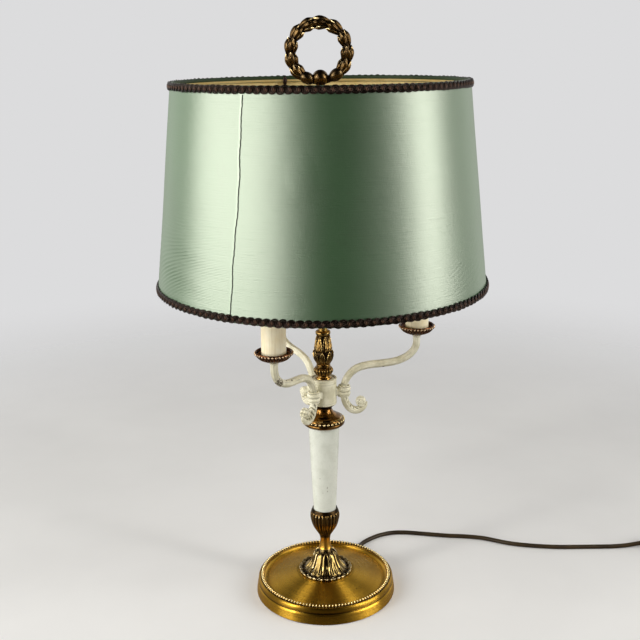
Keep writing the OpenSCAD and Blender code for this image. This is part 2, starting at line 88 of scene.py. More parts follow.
def catmull(pts, step):
    """Points about step apart on a smooth curve through pts (centripetal Catmull-Rom)."""
    p = np.asarray(pts, float)
    p = np.vstack([2 * p[0] - p[1], p, 2 * p[-1] - p[-2]])
    out = []
    for i in range(1, len(p) - 2):
        p0, p1, p2, p3 = p[i - 1], p[i], p[i + 1], p[i + 2]
        d1 = max(np.linalg.norm(p1 - p0), 1e-9) ** 0.5
        d2 = max(np.linalg.norm(p2 - p1), 1e-9) ** 0.5
        d3 = max(np.linalg.norm(p3 - p2), 1e-9) ** 0.5
        t0, t1 = 0.0, d1
        t2, t3 = t1 + d2, t1 + d2 + d3
        n = max(1, int(round(np.linalg.norm(p2 - p1) / step)))
        for k in range(n):
            t = t1 + (t2 - t1) * k / n
            a1 = (t1 - t) / (t1 - t0) * p0 + (t - t0) / (t1 - t0) * p1
            a2 = (t2 - t) / (t2 - t1) * p1 + (t - t1) / (t2 - t1) * p2
            a3 = (t3 - t) / (t3 - t2) * p2 + (t - t2) / (t3 - t2) * p3
            b1 = (t2 - t) / (t2 - t0) * a1 + (t - t0) / (t2 - t0) * a2
            b2 = (t3 - t) / (t3 - t1) * a2 + (t - t1) / (t3 - t1) * a3
            out.append((t2 - t) / (t2 - t1) * b1 + (t - t1) / (t2 - t1) * b2)
    out.append(p[-2])
    return np.array(out)


def fillet(pts, r, seg=4, closed=True):
    """A closed or open outline with its corners rounded by r (one number, or one per point)."""
    p = np.asarray(pts, float)
    n = len(p)
    rr = [r] * n if np.isscalar(r) else list(r)
    out = []
    for i in range(n):
        if not closed and i in (0, n - 1):
            out.append(p[i])
            continue
        a, b, c = p[i - 1], p[i], p[(i + 1) % n]
        u, v = a - b, c - b
        lu, lv = np.linalg.norm(u), np.linalg.norm(v)
        if lu < 1e-9 or lv < 1e-9 or rr[i] <= 0:
            out.append(b)
            continue
        u, v = u / lu, v / lv
        ang = math.acos(max(-1, min(1, float(u @ v))))
        if ang > rad(176):
            out.append(b)
            continue
        cut = min(rr[i] / math.tan(ang / 2), lu * 0.46, lv * 0.46)
        s, e = b + u * cut, b + v * cut
        for k in range(seg + 1):
            t = k / seg
            out.append((1 - t) ** 2 * s + 2 * t * (1 - t) * b + t * t * e)
    return np.array(out)


def spaced(p, step, closed=False):
    """The polyline with extra points, so that no step is longer than step."""
    p = np.asarray(p, float)
    q = np.vstack([p, p[:1]]) if closed else p
    out = []
    for a, b in zip(q[:-1], q[1:]):
        n = max(1, int(math.ceil(np.linalg.norm(b - a) / step)))
        out += [a + (b - a) * k / n for k in range(n)]
    if not closed:
        out.append(q[-1])
    return np.array(out)


def area2(p):
    x, y = p[:, 0], p[:, 1]
    return float(np.sum(x * np.roll(y, -1) - np.roll(x, -1) * y))


# ---------------------------------------------------------------- mesh building (millimetres)


class Build:
    """Collects grids of faces, then makes one mesh object."""

    def __init__(self):
        self.v, self.q, self.t, self.qm, self.tm, self.a, self.n = [], [], [], [], [], [], 0

    def points(self, p, a=None):
        p = np.asarray(p, float).reshape(-1, 3)
        self.v.append(p)
        self.a.append(np.zeros(len(p)) if a is None else np.broadcast_to(np.asarray(a, float).ravel(), (len(p),)))
        s = self.n
        self.n += len(p)
        return s

    def grid(self, P, cu=False, cv=False, mat=0, flip=False, a=None):
        """P is rows x columns x 3. cu joins the last column to the first, and cv the last row to the first."""
        nv, nu = P.shape[:2]
        s = self.points(P, None if a is None else np.broadcast_to(a, (nv, nu)))
        idx = np.arange(nv * nu).reshape(nv, nu) + s
        ii = np.vstack([idx, idx[:1]]) if cv else idx
        ii = np.hstack([ii, ii[:, :1]]) if cu else ii
        q = np.stack([ii[:-1, :-1], ii[:-1, 1:], ii[1:, 1:], ii[1:, :-1]], -1).reshape(-1, 4)
        if flip:
            q = q[:, ::-1]
        self.q.append(q)
        self.qm.append(np.full(len(q), mat))
        return idx

    def cap(self, ring, centre, mat=0, flip=False, a=0.0):
        """A fan from a ring of point numbers to a new centre point."""
        c = self.points([centre], [a])
        ring = np.asarray(ring)
        nxt = np.roll(ring, -1)
        t = np.stack([ring, nxt, np.full(len(ring), c)], -1)
        if flip:
            t = t[:, ::-1]
        self.t.append(t)
        self.tm.append(np.full(len(t), mat))

    def tris(self, t, mat=0):
        t = np.asarray(t)
        self.t.append(t)
        self.tm.append(np.full(len(t), mat))

    def place(self, start, M):
        """Moves every point added since start (an index into the list of blocks) by a 4x4 matrix."""
        for k in range(start, len(self.v)):
            self.v[k] = self.v[k] @ M[:3, :3].T + M[:3, 3]

    def make(self, name, mats, sharp=None, weld=0.0):
        V = np.vstack(self.v) * MM
        A = np.concatenate(self.a)
        Q = np.vstack(self.q).astype(np.int64) if self.q else np.zeros((0, 4), np.int64)
        T = np.vstack(self.t).astype(np.int64) if self.t else np.zeros((0, 3), np.int64)
        QM = np.concatenate(self.qm) if self.q else np.zeros(0, int)
        TM = np.concatenate(self.tm) if self.t else np.zeros(0, int)
        me = bpy.data.meshes.new(name)
        me.vertices.add(len(V))
        me.vertices.foreach_set("co", V.astype(np.float32).ravel())
        me.loops.add(Q.size + T.size)
        me.loops.foreach_set("vertex_index", np.concatenate([Q.ravel(), T.ravel()]).astype(np.int32))
        me.polygons.add(len(Q) + len(T))
        starts = np.concatenate([np.arange(len(Q)) * 4, Q.size + np.arange(len(T)) * 3])
        me.polygons.foreach_set("loop_start", starts.astype(np.int32))
        me.polygons.foreach_set("loop_total", np.concatenate([np.full(len(Q), 4), np.full(len(T), 3)]).astype(np.int32))
        me.update(calc_edges=True)
        at = me.attributes.new("cav", "FLOAT", "POINT")
        at.data.foreach_set("value", A.astype(np.float32))
        for m in mats if isinstance(mats, (list, tuple)) else [mats]:
            me.materials.append(m)
        me.polygons.foreach_set("material_index", np.concatenate([QM, TM]).astype(np.int32))
        me.polygons.foreach_set("use_smooth", np.ones(len(Q) + len(T), bool))
        me.validate()
        if weld:
            bm = bmesh.new()
            bm.from_mesh(me)
            bmesh.ops.remove_doubles(bm, verts=bm.verts, dist=weld * MM)
            bmesh.ops.dissolve_degenerate(bm, edges=bm.edges, dist=1e-8)
            bm.to_mesh(me)
            bm.free()
        if sharp:
            me.set_sharp_from_angle(angle=rad(sharp))
        ob = bpy.data.objects.new(name, me)
        bpy.context.scene.collection.objects.link(ob)
        return ob


def turned(b, outline, n=128, mat=0, closed=True, disp=None, cav=None, step=None, at=(0, 0), turn=0.0):
    """A turned body from an (r, z) outline. disp(theta, z, r) lifts the surface along its own normal, and cav gives
    each point the mark that the materials read: recesses, rubbed and chipped spots, and on some pieces painted shade
    and painted highlights.
    """
    p = np.asarray(outline, float)
    if closed and area2(p) < 0:
        p = p[::-1]
    if step:
        p = spaced(p, step, closed)
    th = np.arange(n) * TAU / n
    R, Z = p[:, :1] + 0 * th, p[:, 1:] + 0 * th
    TH = th[None, :] + 0 * R
    A = np.zeros_like(R) if cav is None else cav(TH, Z, R)
    if disp is not None:
        t = (np.roll(p, -1, 0) - np.roll(p, 1, 0)) if closed else np.gradient(p, axis=0)
        t /= np.maximum(np.linalg.norm(t, axis=1, keepdims=True), 1e-9)
        d = disp(TH, Z, R)
        R, Z = R + t[:, 1:] * d, Z - t[:, :1] * d
    a = TH + turn
    P = np.stack([R * np.cos(a) + at[0], R * np.sin(a) + at[1], Z], -1)
    return b.grid(P, cu=True, cv=closed, mat=mat, a=A)


def frames(path, up=(0, 0, 1)):
    """Tangent, side and normal at each point of a path. up is a vector near to none of the tangents."""
    p = np.asarray(path, float)
    t = np.gradient(p, axis=0)
    t /= np.linalg.norm(t, axis=1, keepdims=True)
    s = np.cross(t, np.asarray(up, float))
    s /= np.maximum(np.linalg.norm(s, axis=1, keepdims=True), 1e-9)
    return t, s, np.cross(s, t)


def tube(b, path, r, n=12, up=(0, 0, 1), mat=0, caps=True, shape=None, a=None, closed=False, twist=0.0):
    """A tube along a path. shape(phi, i) scales the radius; r is one number or one per point."""
    p = np.asarray(path, float)
    m = len(p)
    if closed:
        t = np.roll(p, -1, 0) - np.roll(p, 1, 0)
        t /= np.linalg.norm(t, axis=1, keepdims=True)
        s = np.cross(t, np.asarray(up, float))
        s /= np.maximum(np.linalg.norm(s, axis=1, keepdims=True), 1e-9)
        u = np.cross(s, t)
    else:
        t, s, u = frames(p, up)
    ph = np.arange(n) * TAU / n
    R = np.broadcast_to(np.asarray(r, float).reshape(-1, 1), (m, 1)) * np.ones((1, n))
    I = np.arange(m)[:, None] + 0 * ph
    PH = ph[None, :] + 0 * I
    if shape is not None:
        R = R * shape(PH, I / max(m - 1, 1))
    W = PH + twist * I
    P = p[:, None, :] + R[..., None] * (np.cos(W)[..., None] * s[:, None, :] + np.sin(W)[..., None] * u[:, None, :])
    idx = b.grid(P, cu=True, cv=closed, mat=mat, a=a)
    if caps and not closed:
        b.cap(idx[0], p[0], mat)
        b.cap(idx[-1], p[-1], mat, flip=True)
    return idx


def ball(b, c, r, nu=16, nv=10, mat=0, squash=(1, 1, 1), M=None, a=0.0):
    """A closed ball with fans at its poles."""
    th = np.arange(nu) * TAU / nu
    ph = (np.arange(1, nv) * math.pi / nv)[:, None]
    P = np.stack([np.sin(ph) * np.cos(th), np.sin(ph) * np.sin(th), np.cos(ph) + 0 * th], -1)
    P = P * r * np.asarray(squash, float)
    top = np.array([0, 0, r * squash[2]], float)
    if M is not None:
        P = P @ M[:3, :3].T
        top = M[:3, :3] @ top
    c = np.asarray(c, float)
    idx = b.grid(P + c, cu=True, mat=mat, flip=True, a=a)
    b.cap(idx[0], c + top, mat, a=a)
    b.cap(idx[-1], c - top, mat, flip=True, a=a)


def rot(axis, deg):
    return np.array(Matrix.Rotation(rad(deg), 4, axis))


def shift(x, y, z):
    return np.array(Matrix.Translation((x, y, z)))


def finish_piece(ob, body, nodes=()):
    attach(ob, body)
    if nodes:
        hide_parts(*nodes)
    return ob


# ---------------------------------------------------------------- materials


class Mat:
    """A node material with short words for the nodes that it is made of."""

    def __init__(self, name):
        self.m = bpy.data.materials.new(name)
        self.m.use_nodes = True
        self.nt = self.m.node_tree
        self.nt.nodes.clear()
        self.out = self.node("ShaderNodeOutputMaterial")
        self.p = self.node("ShaderNodeBsdfPrincipled")
        self.nt.links.new(self.p.outputs[0], self.out.inputs[0])
        self.co = self.node("ShaderNodeTexCoord").outputs["Object"]

    def node(self, kind, **kw):
        n = self.nt.nodes.new(kind)
        for k, v in kw.items():
            setattr(n, k, v)
        return n

    def put(self, socket, v):
        if isinstance(v, bpy.types.NodeSocket):
            self.nt.links.new(v, socket)
        elif isinstance(v, (tuple, list)) and len(v) == 3 and socket.type == "RGBA":
            socket.default_value = (*v, 1.0)
        else:
            socket.default_value = v

    def set(self, **kw):
        names = {
            "color": "Base Color", "metal": "Metallic", "rough": "Roughness", "ior": "IOR", "aniso": "Anisotropic",
            "aniso_rot": "Anisotropic Rotation", "tangent": "Tangent", "spec": "Specular IOR Level", "coat": "Coat Weight",
            "coat_rough": "Coat Roughness", "sheen": "Sheen Weight", "sheen_rough": "Sheen Roughness", "sheen_tint": "Sheen Tint",
            "trans": "Transmission Weight", "sss": "Subsurface Weight", "sss_r": "Subsurface Radius", "sss_s": "Subsurface Scale",
            "alpha": "Alpha", "normal": "Normal", "spec_tint": "Specular Tint",
        }
        for k, v in kw.items():
            self.put(self.p.inputs[names[k]], v)
        return self

    def math(self, op, a, b=0.0, c=0.0, clamp=False):
        n = self.node("ShaderNodeMath", operation=op, use_clamp=clamp)
        self.put(n.inputs[0], a)
        self.put(n.inputs[1], b)
        if op in ("MULTIPLY_ADD", "SMOOTH_MIN", "SMOOTH_MAX", "WRAP", "COMPARE"):
            self.put(n.inputs[2], c)
        return n.outputs[0]

    def vec(self, op, a, b=(0, 0, 0), s=1.0):
        n = self.node("ShaderNodeVectorMath", operation=op)
        self.put(n.inputs[0], a)
        if op == "SCALE":
            self.put(n.inputs["Scale"], s)
        else:
            self.put(n.inputs[1], b)
        return n.outputs["Value"] if op in ("LENGTH", "DISTANCE", "DOT_PRODUCT") else n.outputs[0]

    def mix(self, f, a, b, blend="MIX"):
        n = self.node("ShaderNodeMix", data_type="RGBA", blend_type=blend)
        self.put(n.inputs[0], f)
        self.put(n.inputs[6], a)
        self.put(n.inputs[7], b)
        return n.outputs[2]

    def fmix(self, f, a, b):
        n = self.node("ShaderNodeMix", data_type="FLOAT")
        self.put(n.inputs[0], f)
        self.put(n.inputs[2], a)
        self.put(n.inputs[3], b)
        return n.outputs[0]

    def noise(self, scale, detail=3.0, rough=0.55, co=None, distort=0.0, dims="3D", lac=2.0):
        n = self.node("ShaderNodeTexNoise", noise_dimensions=dims)
        self.put(n.inputs["Vector" if dims != "1D" else "W"], self.co if co is None else co)
        n.inputs["Scale"].default_value = scale
        n.inputs["Detail"].default_value = detail
        n.inputs["Roughness"].default_value = rough
        n.inputs["Lacunarity"].default_value = lac
        n.inputs["Distortion"].default_value = distort
        return n.outputs[0]

    def voronoi(self, scale, feature="F1", co=None, rnd=1.0):
        n = self.node("ShaderNodeTexVoronoi", feature=feature)
        self.put(n.inputs["Vector"], self.co if co is None else co)
        n.inputs["Scale"].default_value = scale
        n.inputs["Randomness"].default_value = rnd
        return n.outputs["Distance"]

    def range(self, v, a, b, c=0.0, d=1.0, kind="SMOOTHSTEP"):
        n = self.node("ShaderNodeMapRange", interpolation_type=kind)
        for i, x in enumerate((v, a, b, c, d)):
            self.put(n.inputs[i], x)
        return n.outputs[0]

    def xyz(self, co=None):
        n = self.node("ShaderNodeSeparateXYZ")
        self.put(n.inputs[0], self.co if co is None else co)
        return n.outputs

    def join(self, x, y, z):
        n = self.node("ShaderNodeCombineXYZ")
        for i, v in enumerate((x, y, z)):
            self.put(n.inputs[i], v)
        return n.outputs[0]

    def attr(self, name="cav"):
        return self.node("ShaderNodeAttribute", attribute_name=name).outputs["Fac"]

    def pointy(self, a=0.5, b=0.6):
        """0 to 1 on convex edges."""
        return self.range(self.node("ShaderNodeNewGeometry").outputs["Pointiness"], a, b)

    def bump(self, height, dist, strength=1.0, normal=None):
        n = self.node("ShaderNodeBump")
        n.inputs["Strength"].default_value = strength
        n.inputs["Distance"].default_value = dist
        self.put(n.inputs["Height"], height)
        if normal is not None:
            self.put(n.inputs["Normal"], normal)
        return n.outputs[0]

    def azimuth(self):
        """(angle about Z in radians, distance from the Z axis) of the object coordinates."""
        x, y, z = self.xyz()
        return self.math("ARCTAN2", y, x), self.math("SQRT", self.math("ADD", self.math("MULTIPLY", x, x), self.math("MULTIPLY", y, y))), z


def srgb(r, g, b):
    f = lambda c: (c / 255 / 12.92) if c / 255 <= 0.04045 else ((c / 255 + 0.055) / 1.055) ** 2.4
    return (f(r), f(g), f(b))


def brass(name, light, dark, darkening=0.5, rough=(0.16, 0.3), blotch=55, grime_and_shade=(0.03, 0.018, 0.008), grime_and_shade_amount=0.8, edge=0.5, aniso=0.0, spin=False, fine=1.0, rub_and_highlight=None):
    """Polished or aged brass: blotches of tarnish; darker where the cav attribute is positive: grime in the hollows,
    and painted shade on the dish's front and on the cap's neck under the hub; lighter where it is negative and on
    edges: rubbed brass, and a painted highlight on the leaf collar's rolled rim and beads.
    """
    m = Mat(name)
    n1 = m.noise(blotch, 4, 0.6)
    n2 = m.noise(blotch * 14, 3, 0.6)
    t = m.range(m.math("ADD", m.math("MULTIPLY", n1, 0.7), m.math("MULTIPLY", n2, 0.3)), 0.38, 0.66)
    base = m.mix(m.math("MULTIPLY", t, darkening), light, dark)
    e = m.math("MULTIPLY", m.pointy(0.51, 0.58), edge)
    rub_and_highlight = rub_and_highlight or tuple(min(1, c * 1.12 + 0.03) for c in light)
    base = m.mix(e, base, rub_and_highlight)
    base = m.mix(m.math("MULTIPLY", m.range(m.attr(), -0.05, -0.8, 0.0, 1.0), m.range(n2, 0.25, 0.55, 0.6, 1.0)), base, rub_and_highlight)
    c = m.math("MULTIPLY", m.math("MULTIPLY", m.attr(), m.range(n2, 0.2, 0.6, 0.75, 1.0)), grime_and_shade_amount, clamp=True)
    base = m.mix(c, base, grime_and_shade)
    r = m.math("ADD", m.range(n2, 0.3, 0.75, rough[0], rough[1]), m.math("MULTIPLY", c, 0.14))
    r = m.math("ADD", r, m.math("MULTIPLY", t, 0.06))
    height = m.noise(1400, 2, 0.5)
    if spin:  # fine turning lines about the Z axis
        ang, dist, z = m.azimuth()
        lines = m.noise(1.0, 4, 0.7, co=m.join(m.math("MULTIPLY", dist, 2600), m.math("MULTIPLY", ang, 1.2), m.math("MULTIPLY", z, 2600)))
        wide = m.noise(1.0, 2, 0.5, co=m.join(m.math("MULTIPLY", dist, 300), m.math("MULTIPLY", ang, 0.6), m.math("MULTIPLY", z, 300)))
        r = m.math("ADD", r, m.range(lines, 0.3, 0.7, -0.05, 0.07))
        base = m.mix(m.range(wide, 0.42, 0.75, 0.0, 0.3), base, dark)
        height = m.math("ADD", m.math("MULTIPLY", height, 0.3), lines)
    m.set(color=base, metal=1.0, rough=r, normal=m.bump(height, 0.00002 * fine, 0.35))
    if aniso:
        tan = m.node("ShaderNodeTangent", direction_type="RADIAL", axis="Z")
        m.set(aniso=aniso, aniso_rot=0.25, tangent=tan.outputs[0])
    return m.m


GOLD = (0.74, 0.46, 0.095)
GOLD_D = (0.36, 0.17, 0.03)
M = {}
M["brass_satin"] = brass("brass_satin", (0.66, 0.38, 0.042), (0.46, 0.235, 0.022), darkening=0.4, rough=(0.25, 0.31), blotch=30, fine=0.5, aniso=0.94, spin=True)
M["brass_polished"] = brass("brass_polished", (0.46, 0.30, 0.08), (0.19, 0.10, 0.026), darkening=0.8, rough=(0.1, 0.2), grime_and_shade=(0.018, 0.010, 0.004), grime_and_shade_amount=0.96, rub_and_highlight=(0.95, 0.80, 0.42))
M["brass_neck"] = brass("brass_neck", (0.72, 0.40, 0.06), (0.36, 0.13, 0.018), darkening=0.5, rough=(0.26, 0.33))
M["brass_leaf"] = brass("brass_leaf", (0.33, 0.235, 0.08), (0.13, 0.075, 0.022), darkening=0.7, rough=(0.07, 0.13), grime_and_shade=(0.016, 0.009, 0.004), grime_and_shade_amount=0.97, rub_and_highlight=(0.97, 0.90, 0.66))
M["brass_cap"] = brass("brass_cap", (0.27, 0.135, 0.033), (0.085, 0.036, 0.012), darkening=0.7, rough=(0.08, 0.15), spin=True, fine=0.4, grime_and_shade=(0.010, 0.006, 0.004), grime_and_shade_amount=0.97, rub_and_highlight=(0.85, 0.68, 0.36))
M["brass_antique"] = brass("brass_antique", (0.33, 0.195, 0.052), (0.085, 0.042, 0.013), darkening=0.8, rough=(0.08, 0.16), grime_and_shade=(0.012, 0.007, 0.004), grime_and_shade_amount=0.98, rub_and_highlight=(0.74, 0.55, 0.22))
M["brass_wreath"] = brass("brass_wreath", (0.14, 0.085, 0.031), (0.042, 0.023, 0.010), darkening=0.85, rough=(0.13, 0.28), grime_and_shade=(0.010, 0.006, 0.004), grime_and_shade_amount=0.97, blotch=90, edge=0.35, rub_and_highlight=(0.78, 0.62, 0.33))
M["brass_dark"] = brass("brass_dark", (0.25, 0.145, 0.04), (0.075, 0.036, 0.014), darkening=0.7, rough=(0.12, 0.24), grime_and_shade=(0.010, 0.006, 0.004), grime_and_shade_amount=0.97, edge=0.25, rub_and_highlight=(0.85, 0.66, 0.36))
M["brass_pan"] = brass("brass_pan", (0.16, 0.060, 0.025), (0.045, 0.020, 0.011), darkening=0.8, rough=(0.13, 0.26), grime_and_shade=(0.010, 0.006, 0.004), grime_and_shade_amount=0.96, blotch=120, edge=0.2, rub_and_highlight=(0.62, 0.46, 0.30))
M["brass_rod"] = brass("brass_rod", (0.66, 0.43, 0.12), (0.3, 0.16, 0.04), darkening=0.6, rough=(0.2, 0.34), spin=True)


def paint(name, base, dark, chip=(0.07, 0.05, 0.03), wear=0.5, mottle=0.5, rough=0.42, crack=0.3, seed=0.0):
    """Old enamel paint: mottled, brushed on, darker where the cav attribute is positive (grime in the recesses, and
    painted shade on the hub drum's underside, the arms' undersides and the arms' facet edges), with rubbed edges.
    """
    m = Mat(name)
    co = m.vec("ADD", m.co, (seed, seed * 0.7, -seed))
    n1 = m.noise(70, 4, 0.6, co=co)
    n2 = m.noise(600, 4, 0.65, co=co)
    n3 = m.noise(2200, 2, 0.5, co=co)
    base_c = m.mix(m.math("MULTIPLY", m.range(n1, 0.38, 0.68), mottle), base, dark)
    base_c = m.mix(m.range(n2, 0.5, 0.8, 0, 0.25 * mottle), base_c, dark)
    cav = m.attr()
    base_c = m.mix(m.math("MULTIPLY", cav, 0.85, clamp=True), base_c, tuple(c * 0.35 for c in dark))
    e = m.math("MULTIPLY", m.pointy(0.515, 0.57), m.range(n2, 0.46, 0.6))
    base_c = m.mix(m.math("MULTIPLY", e, wear), base_c, chip)
    bare = m.math("MULTIPLY", m.range(cav, -0.15, -0.55, 0.0, 1.0), m.range(n2, 0.42, 0.52, 0.0, 1.0))
    base_c = m.mix(bare, base_c, chip)
    h = m.math("ADD", m.math("MULTIPLY", n2, 0.6), m.math("MULTIPLY", n3, 0.25))
    h = m.math("SUBTRACT", h, m.math("MULTIPLY", bare, 0.8))
    m.set(color=base_c, metal=0.0, rough=m.range(n2, 0.3, 0.7, rough - 0.06, rough + 0.1), normal=m.bump(h, 0.00016, 0.5), spec=0.5)
    return m.m


M["ivory_paint"] = paint("ivory_paint", srgb(240, 236, 212), srgb(194, 188, 154), chip=(0.10, 0.075, 0.045), wear=0.8, mottle=0.65, rough=0.4)
M["column_paint"] = paint("column_paint", srgb(222, 225, 214), srgb(188, 192, 176), chip=(0.16, 0.12, 0.08), wear=0.0, mottle=0.35, rough=0.3)


def plain(name, color, rough=0.45, metal=0.0, vary=0.25, scale=300, bumpd=0.00004, spec=0.5, edge=0.25, coat=0.0):
    """Moulded or cast material with a little variation and fine grain."""
    m = Mat(name)
    n1 = m.noise(scale * 0.2, 3, 0.6)
    n2 = m.noise(scale * 4, 3, 0.6)
    dark = tuple(c * (1 - vary) for c in color)
    light = tuple(min(1.0, c * (1 + vary) + 0.01) for c in color)
    c = m.mix(m.range(n1, 0.35, 0.7), light, dark)
    c = m.mix(m.math("MULTIPLY", m.pointy(0.51, 0.6), edge), c, tuple(min(1.0, x * 1.6 + 0.03) for x in color))
    m.set(color=c, metal=metal, rough=m.range(n2, 0.3, 0.7, max(0.02, rough - 0.07), rough + 0.08), normal=m.bump(n2, bumpd, 0.4), spec=spec, coat=coat)
    return m.m


M["bakelite"] = plain("bakelite", (0.022, 0.014, 0.010), 0.28)
M["nickel"] = plain("nickel", (0.62, 0.60, 0.56), 0.22, metal=1.0, vary=0.12)
M["zinc_steel"] = plain("zinc_steel", (0.46, 0.47, 0.47), 0.38, metal=1.0, vary=0.2)
M["frame_wire"] = plain("frame_wire", (0.10, 0.075, 0.055), 0.42, metal=0.7, vary=0.4, scale=500)
M["cast_iron"] = plain("cast_iron", (0.055, 0.05, 0.048), 0.7, metal=0.3, vary=0.4, scale=260, bumpd=0.0003)
M["switch_plastic"] = plain("switch_plastic", (0.085, 0.05, 0.022), 0.36, vary=0.15)
M["rocker_plastic"] = plain("rocker_plastic", (0.42, 0.25, 0.06), 0.34, vary=0.12)


def cord_mat():
    """Old brown PVC lead with dust and scuffs."""
    m = Mat("lead_pvc")
    n1 = m.noise(45, 4, 0.65)
    n2 = m.noise(1600, 3, 0.6)
    c = m.mix(m.range(n1, 0.35, 0.7), (0.040, 0.024, 0.008), (0.020, 0.012, 0.005))
    c = m.mix(m.range(n2, 0.52, 0.8, 0, 0.3), c, (0.10, 0.07, 0.035))
    m.set(color=c, spec=0.3, rough=m.range(n2, 0.3, 0.7, 0.38, 0.55), normal=m.bump(n2, 0.00012, 0.4))
    return m.m


M["lead_pvc"] = cord_mat()


def felt():
    m = Mat("felt")
    n = m.noise(2500, 4, 0.7)
    c = m.mix(m.range(n, 0.3, 0.7), (0.012, 0.045, 0.02), (0.03, 0.09, 0.04))
    m.set(color=c, rough=0.95, sheen=0.4, sheen_rough=0.5, normal=m.bump(n, 0.0004, 0.6))
    return m.m


M["felt"] = felt()


def candle():
    """Waxed card sleeve: creamy, slightly mottled, with faint run marks down its sides."""
    m = Mat("candle_card")
    x, y, z = m.xyz()
    runs = m.noise(1.0, 3, 0.6, co=m.join(m.math("MULTIPLY", x, 420), m.math("MULTIPLY", y, 420), m.math("MULTIPLY", z, 22)))
    n1 = m.noise(50, 3, 0.6)
    n2 = m.noise(900, 3, 0.6)
    c = m.mix(m.range(n1, 0.35, 0.7), srgb(255, 246, 216), srgb(248, 234, 196))
    c = m.mix(m.range(runs, 0.48, 0.7, 0, 0.35), c, srgb(216, 198, 156))
    c = m.mix(m.math("MULTIPLY", m.attr(), 0.6), c, srgb(150, 120, 80))
    h = m.math("ADD", m.math("MULTIPLY", runs, 0.8), m.math("MULTIPLY", n2, 0.2))
    m.set(color=c, rough=m.range(n2, 0.3, 0.7, 0.33, 0.45), sss=0.08, sss_r=(0.004, 0.003, 0.002), sss_s=1.0, normal=m.bump(h, 0.00012, 0.4))
    return m.m


M["candle_card"] = candle()


def bulb_mat():
    m = Mat("bulb_glass")
    n = m.noise(60, 3, 0.5)
    c = m.mix(m.range(n, 0.35, 0.65), (0.93, 0.91, 0.86), (0.86, 0.83, 0.76))
    m.set(color=c, rough=m.range(n, 0.3, 0.7, 0.08, 0.14), coat=0.6, coat_rough=0.04, trans=0.0)
    m.set(normal=m.bump(m.noise(900, 2), 0.00003, 0.3))
    return m.m


M["bulb_glass"] = bulb_mat()


def satin(name, base, stain=True):
    """Satin weave: fine vertical warp, weft ribs, moire, faint water stains and pulled ripples."""
    m = Mat(name)
    ang, dist, z = m.azimuth()
    arc = m.math("MULTIPLY", ang, 0.163)  # metres along the shade
    warp = m.noise(1.0, 2, 0.6, co=m.join(m.math("MULTIPLY", arc, 2600), m.math("MULTIPLY", z, 160), 0.0))
    weft = m.noise(1.0, 2, 0.6, co=m.join(m.math("MULTIPLY", arc, 110), m.math("MULTIPLY", z, 2400), 3.0))
    slub = m.noise(1.0, 3, 0.65, co=m.join(m.math("MULTIPLY", arc, 26), m.math("MULTIPLY", z, 700), 7.0))
    haze = m.noise(9, 3, 0.6)
    c = m.mix(m.range(haze, 0.35, 0.7), base, tuple(x * 0.80 for x in base))
    c = m.mix(m.range(warp, 0.35, 0.7, 0.0, 0.16), c, tuple(x * 0.7 for x in base))
    c = m.mix(m.range(slub, 0.5, 0.8, 0.0, 0.12), c, tuple(min(1, x * 1.25) for x in base))
    if stain:
        st = m.noise(16, 4, 0.7, distort=0.6)
        c = m.mix(m.range(st, 0.60, 0.72, 0.0, 0.28), c, (base[0] * 0.85, base[1] * 0.72, base[2] * 0.55))
        ring = m.math("MULTIPLY", m.range(st, 0.60, 0.615), m.range(st, 0.635, 0.615))
        c = m.mix(m.math("MULTIPLY", ring, 0.22), c, (base[0] * 0.62, base[1] * 0.5, base[2] * 0.35))
    rip = m.node("ShaderNodeTexWave", wave_type="BANDS", bands_direction="Z", wave_profile="SIN")
    m.put(rip.inputs["Vector"], m.join(m.math("MULTIPLY", arc, 0.25), 0.0, z))
    rip.inputs["Scale"].default_value = 118.0
    rip.inputs["Distortion"].default_value = 9.0
    rip.inputs["Detail"].default_value = 1.0
    rip.inputs["Detail Scale"].default_value = 0.14
    mask = m.attr()
    h1 = m.math("MULTIPLY", m.math("ADD", warp, m.math("MULTIPLY", weft, 0.8)), 0.00006)
    h2 = m.math("MULTIPLY", slub, 0.00016)
    h3 = m.math("MULTIPLY", m.math("ADD", mask, m.math("MULTIPLY", m.math("MULTIPLY", rip.outputs["Fac"], mask), 0.15)), 0.00019)
    h = m.math("ADD", m.math("ADD", h1, h2), h3)
    m.set(color=c, rough=0.5, normal=m.bump(h, 1.0, 1.0))
    return m


SHADE_C = (0.024, 0.102, 0.026)
sm = satin("shade_satin", SHADE_C)
sm.set(rough=0.37, ior=2.1, spec=1.0, spec_tint=(0.93, 1.0, 0.845, 1.0))
M["shade_satin"] = sm.m
# a darker copy of the satin for the turned-in fold inside the top rim: painted shade
sf = satin("satin_fold_painted_dark", (0.038, 0.075, 0.030))
sf.set(rough=0.55, ior=1.45, spec=0.35)
M["satin_fold_painted_dark"] = sf.m


def lining():
    """Laminated backing: cream plastic film gone tan, with fine weave showing."""
    m = Mat("shade_lining")
    ang, dist, z = m.azimuth()
    arc = m.math("MULTIPLY", ang, 0.163)
    w1 = m.noise(1.0, 2, 0.6, co=m.join(m.math("MULTIPLY", arc, 1600), m.math("MULTIPLY", z, 120), 0.0))
    w2 = m.noise(1.0, 2, 0.6, co=m.join(m.math("MULTIPLY", arc, 120), m.math("MULTIPLY", z, 1600), 5.0))
    n = m.noise(22, 4, 0.65)
    c = m.mix(m.range(n, 0.35, 0.7), srgb(250, 230, 168), srgb(228, 202, 132))
    c = m.mix(m.range(w1, 0.4, 0.8, 0, 0.25), c, srgb(160, 134, 84))
    m.set(color=c, rough=0.62, normal=m.bump(m.math("ADD", w1, w2), 0.0001, 0.5), sss=0.0)
    return m.m


M["shade_lining"] = lining()


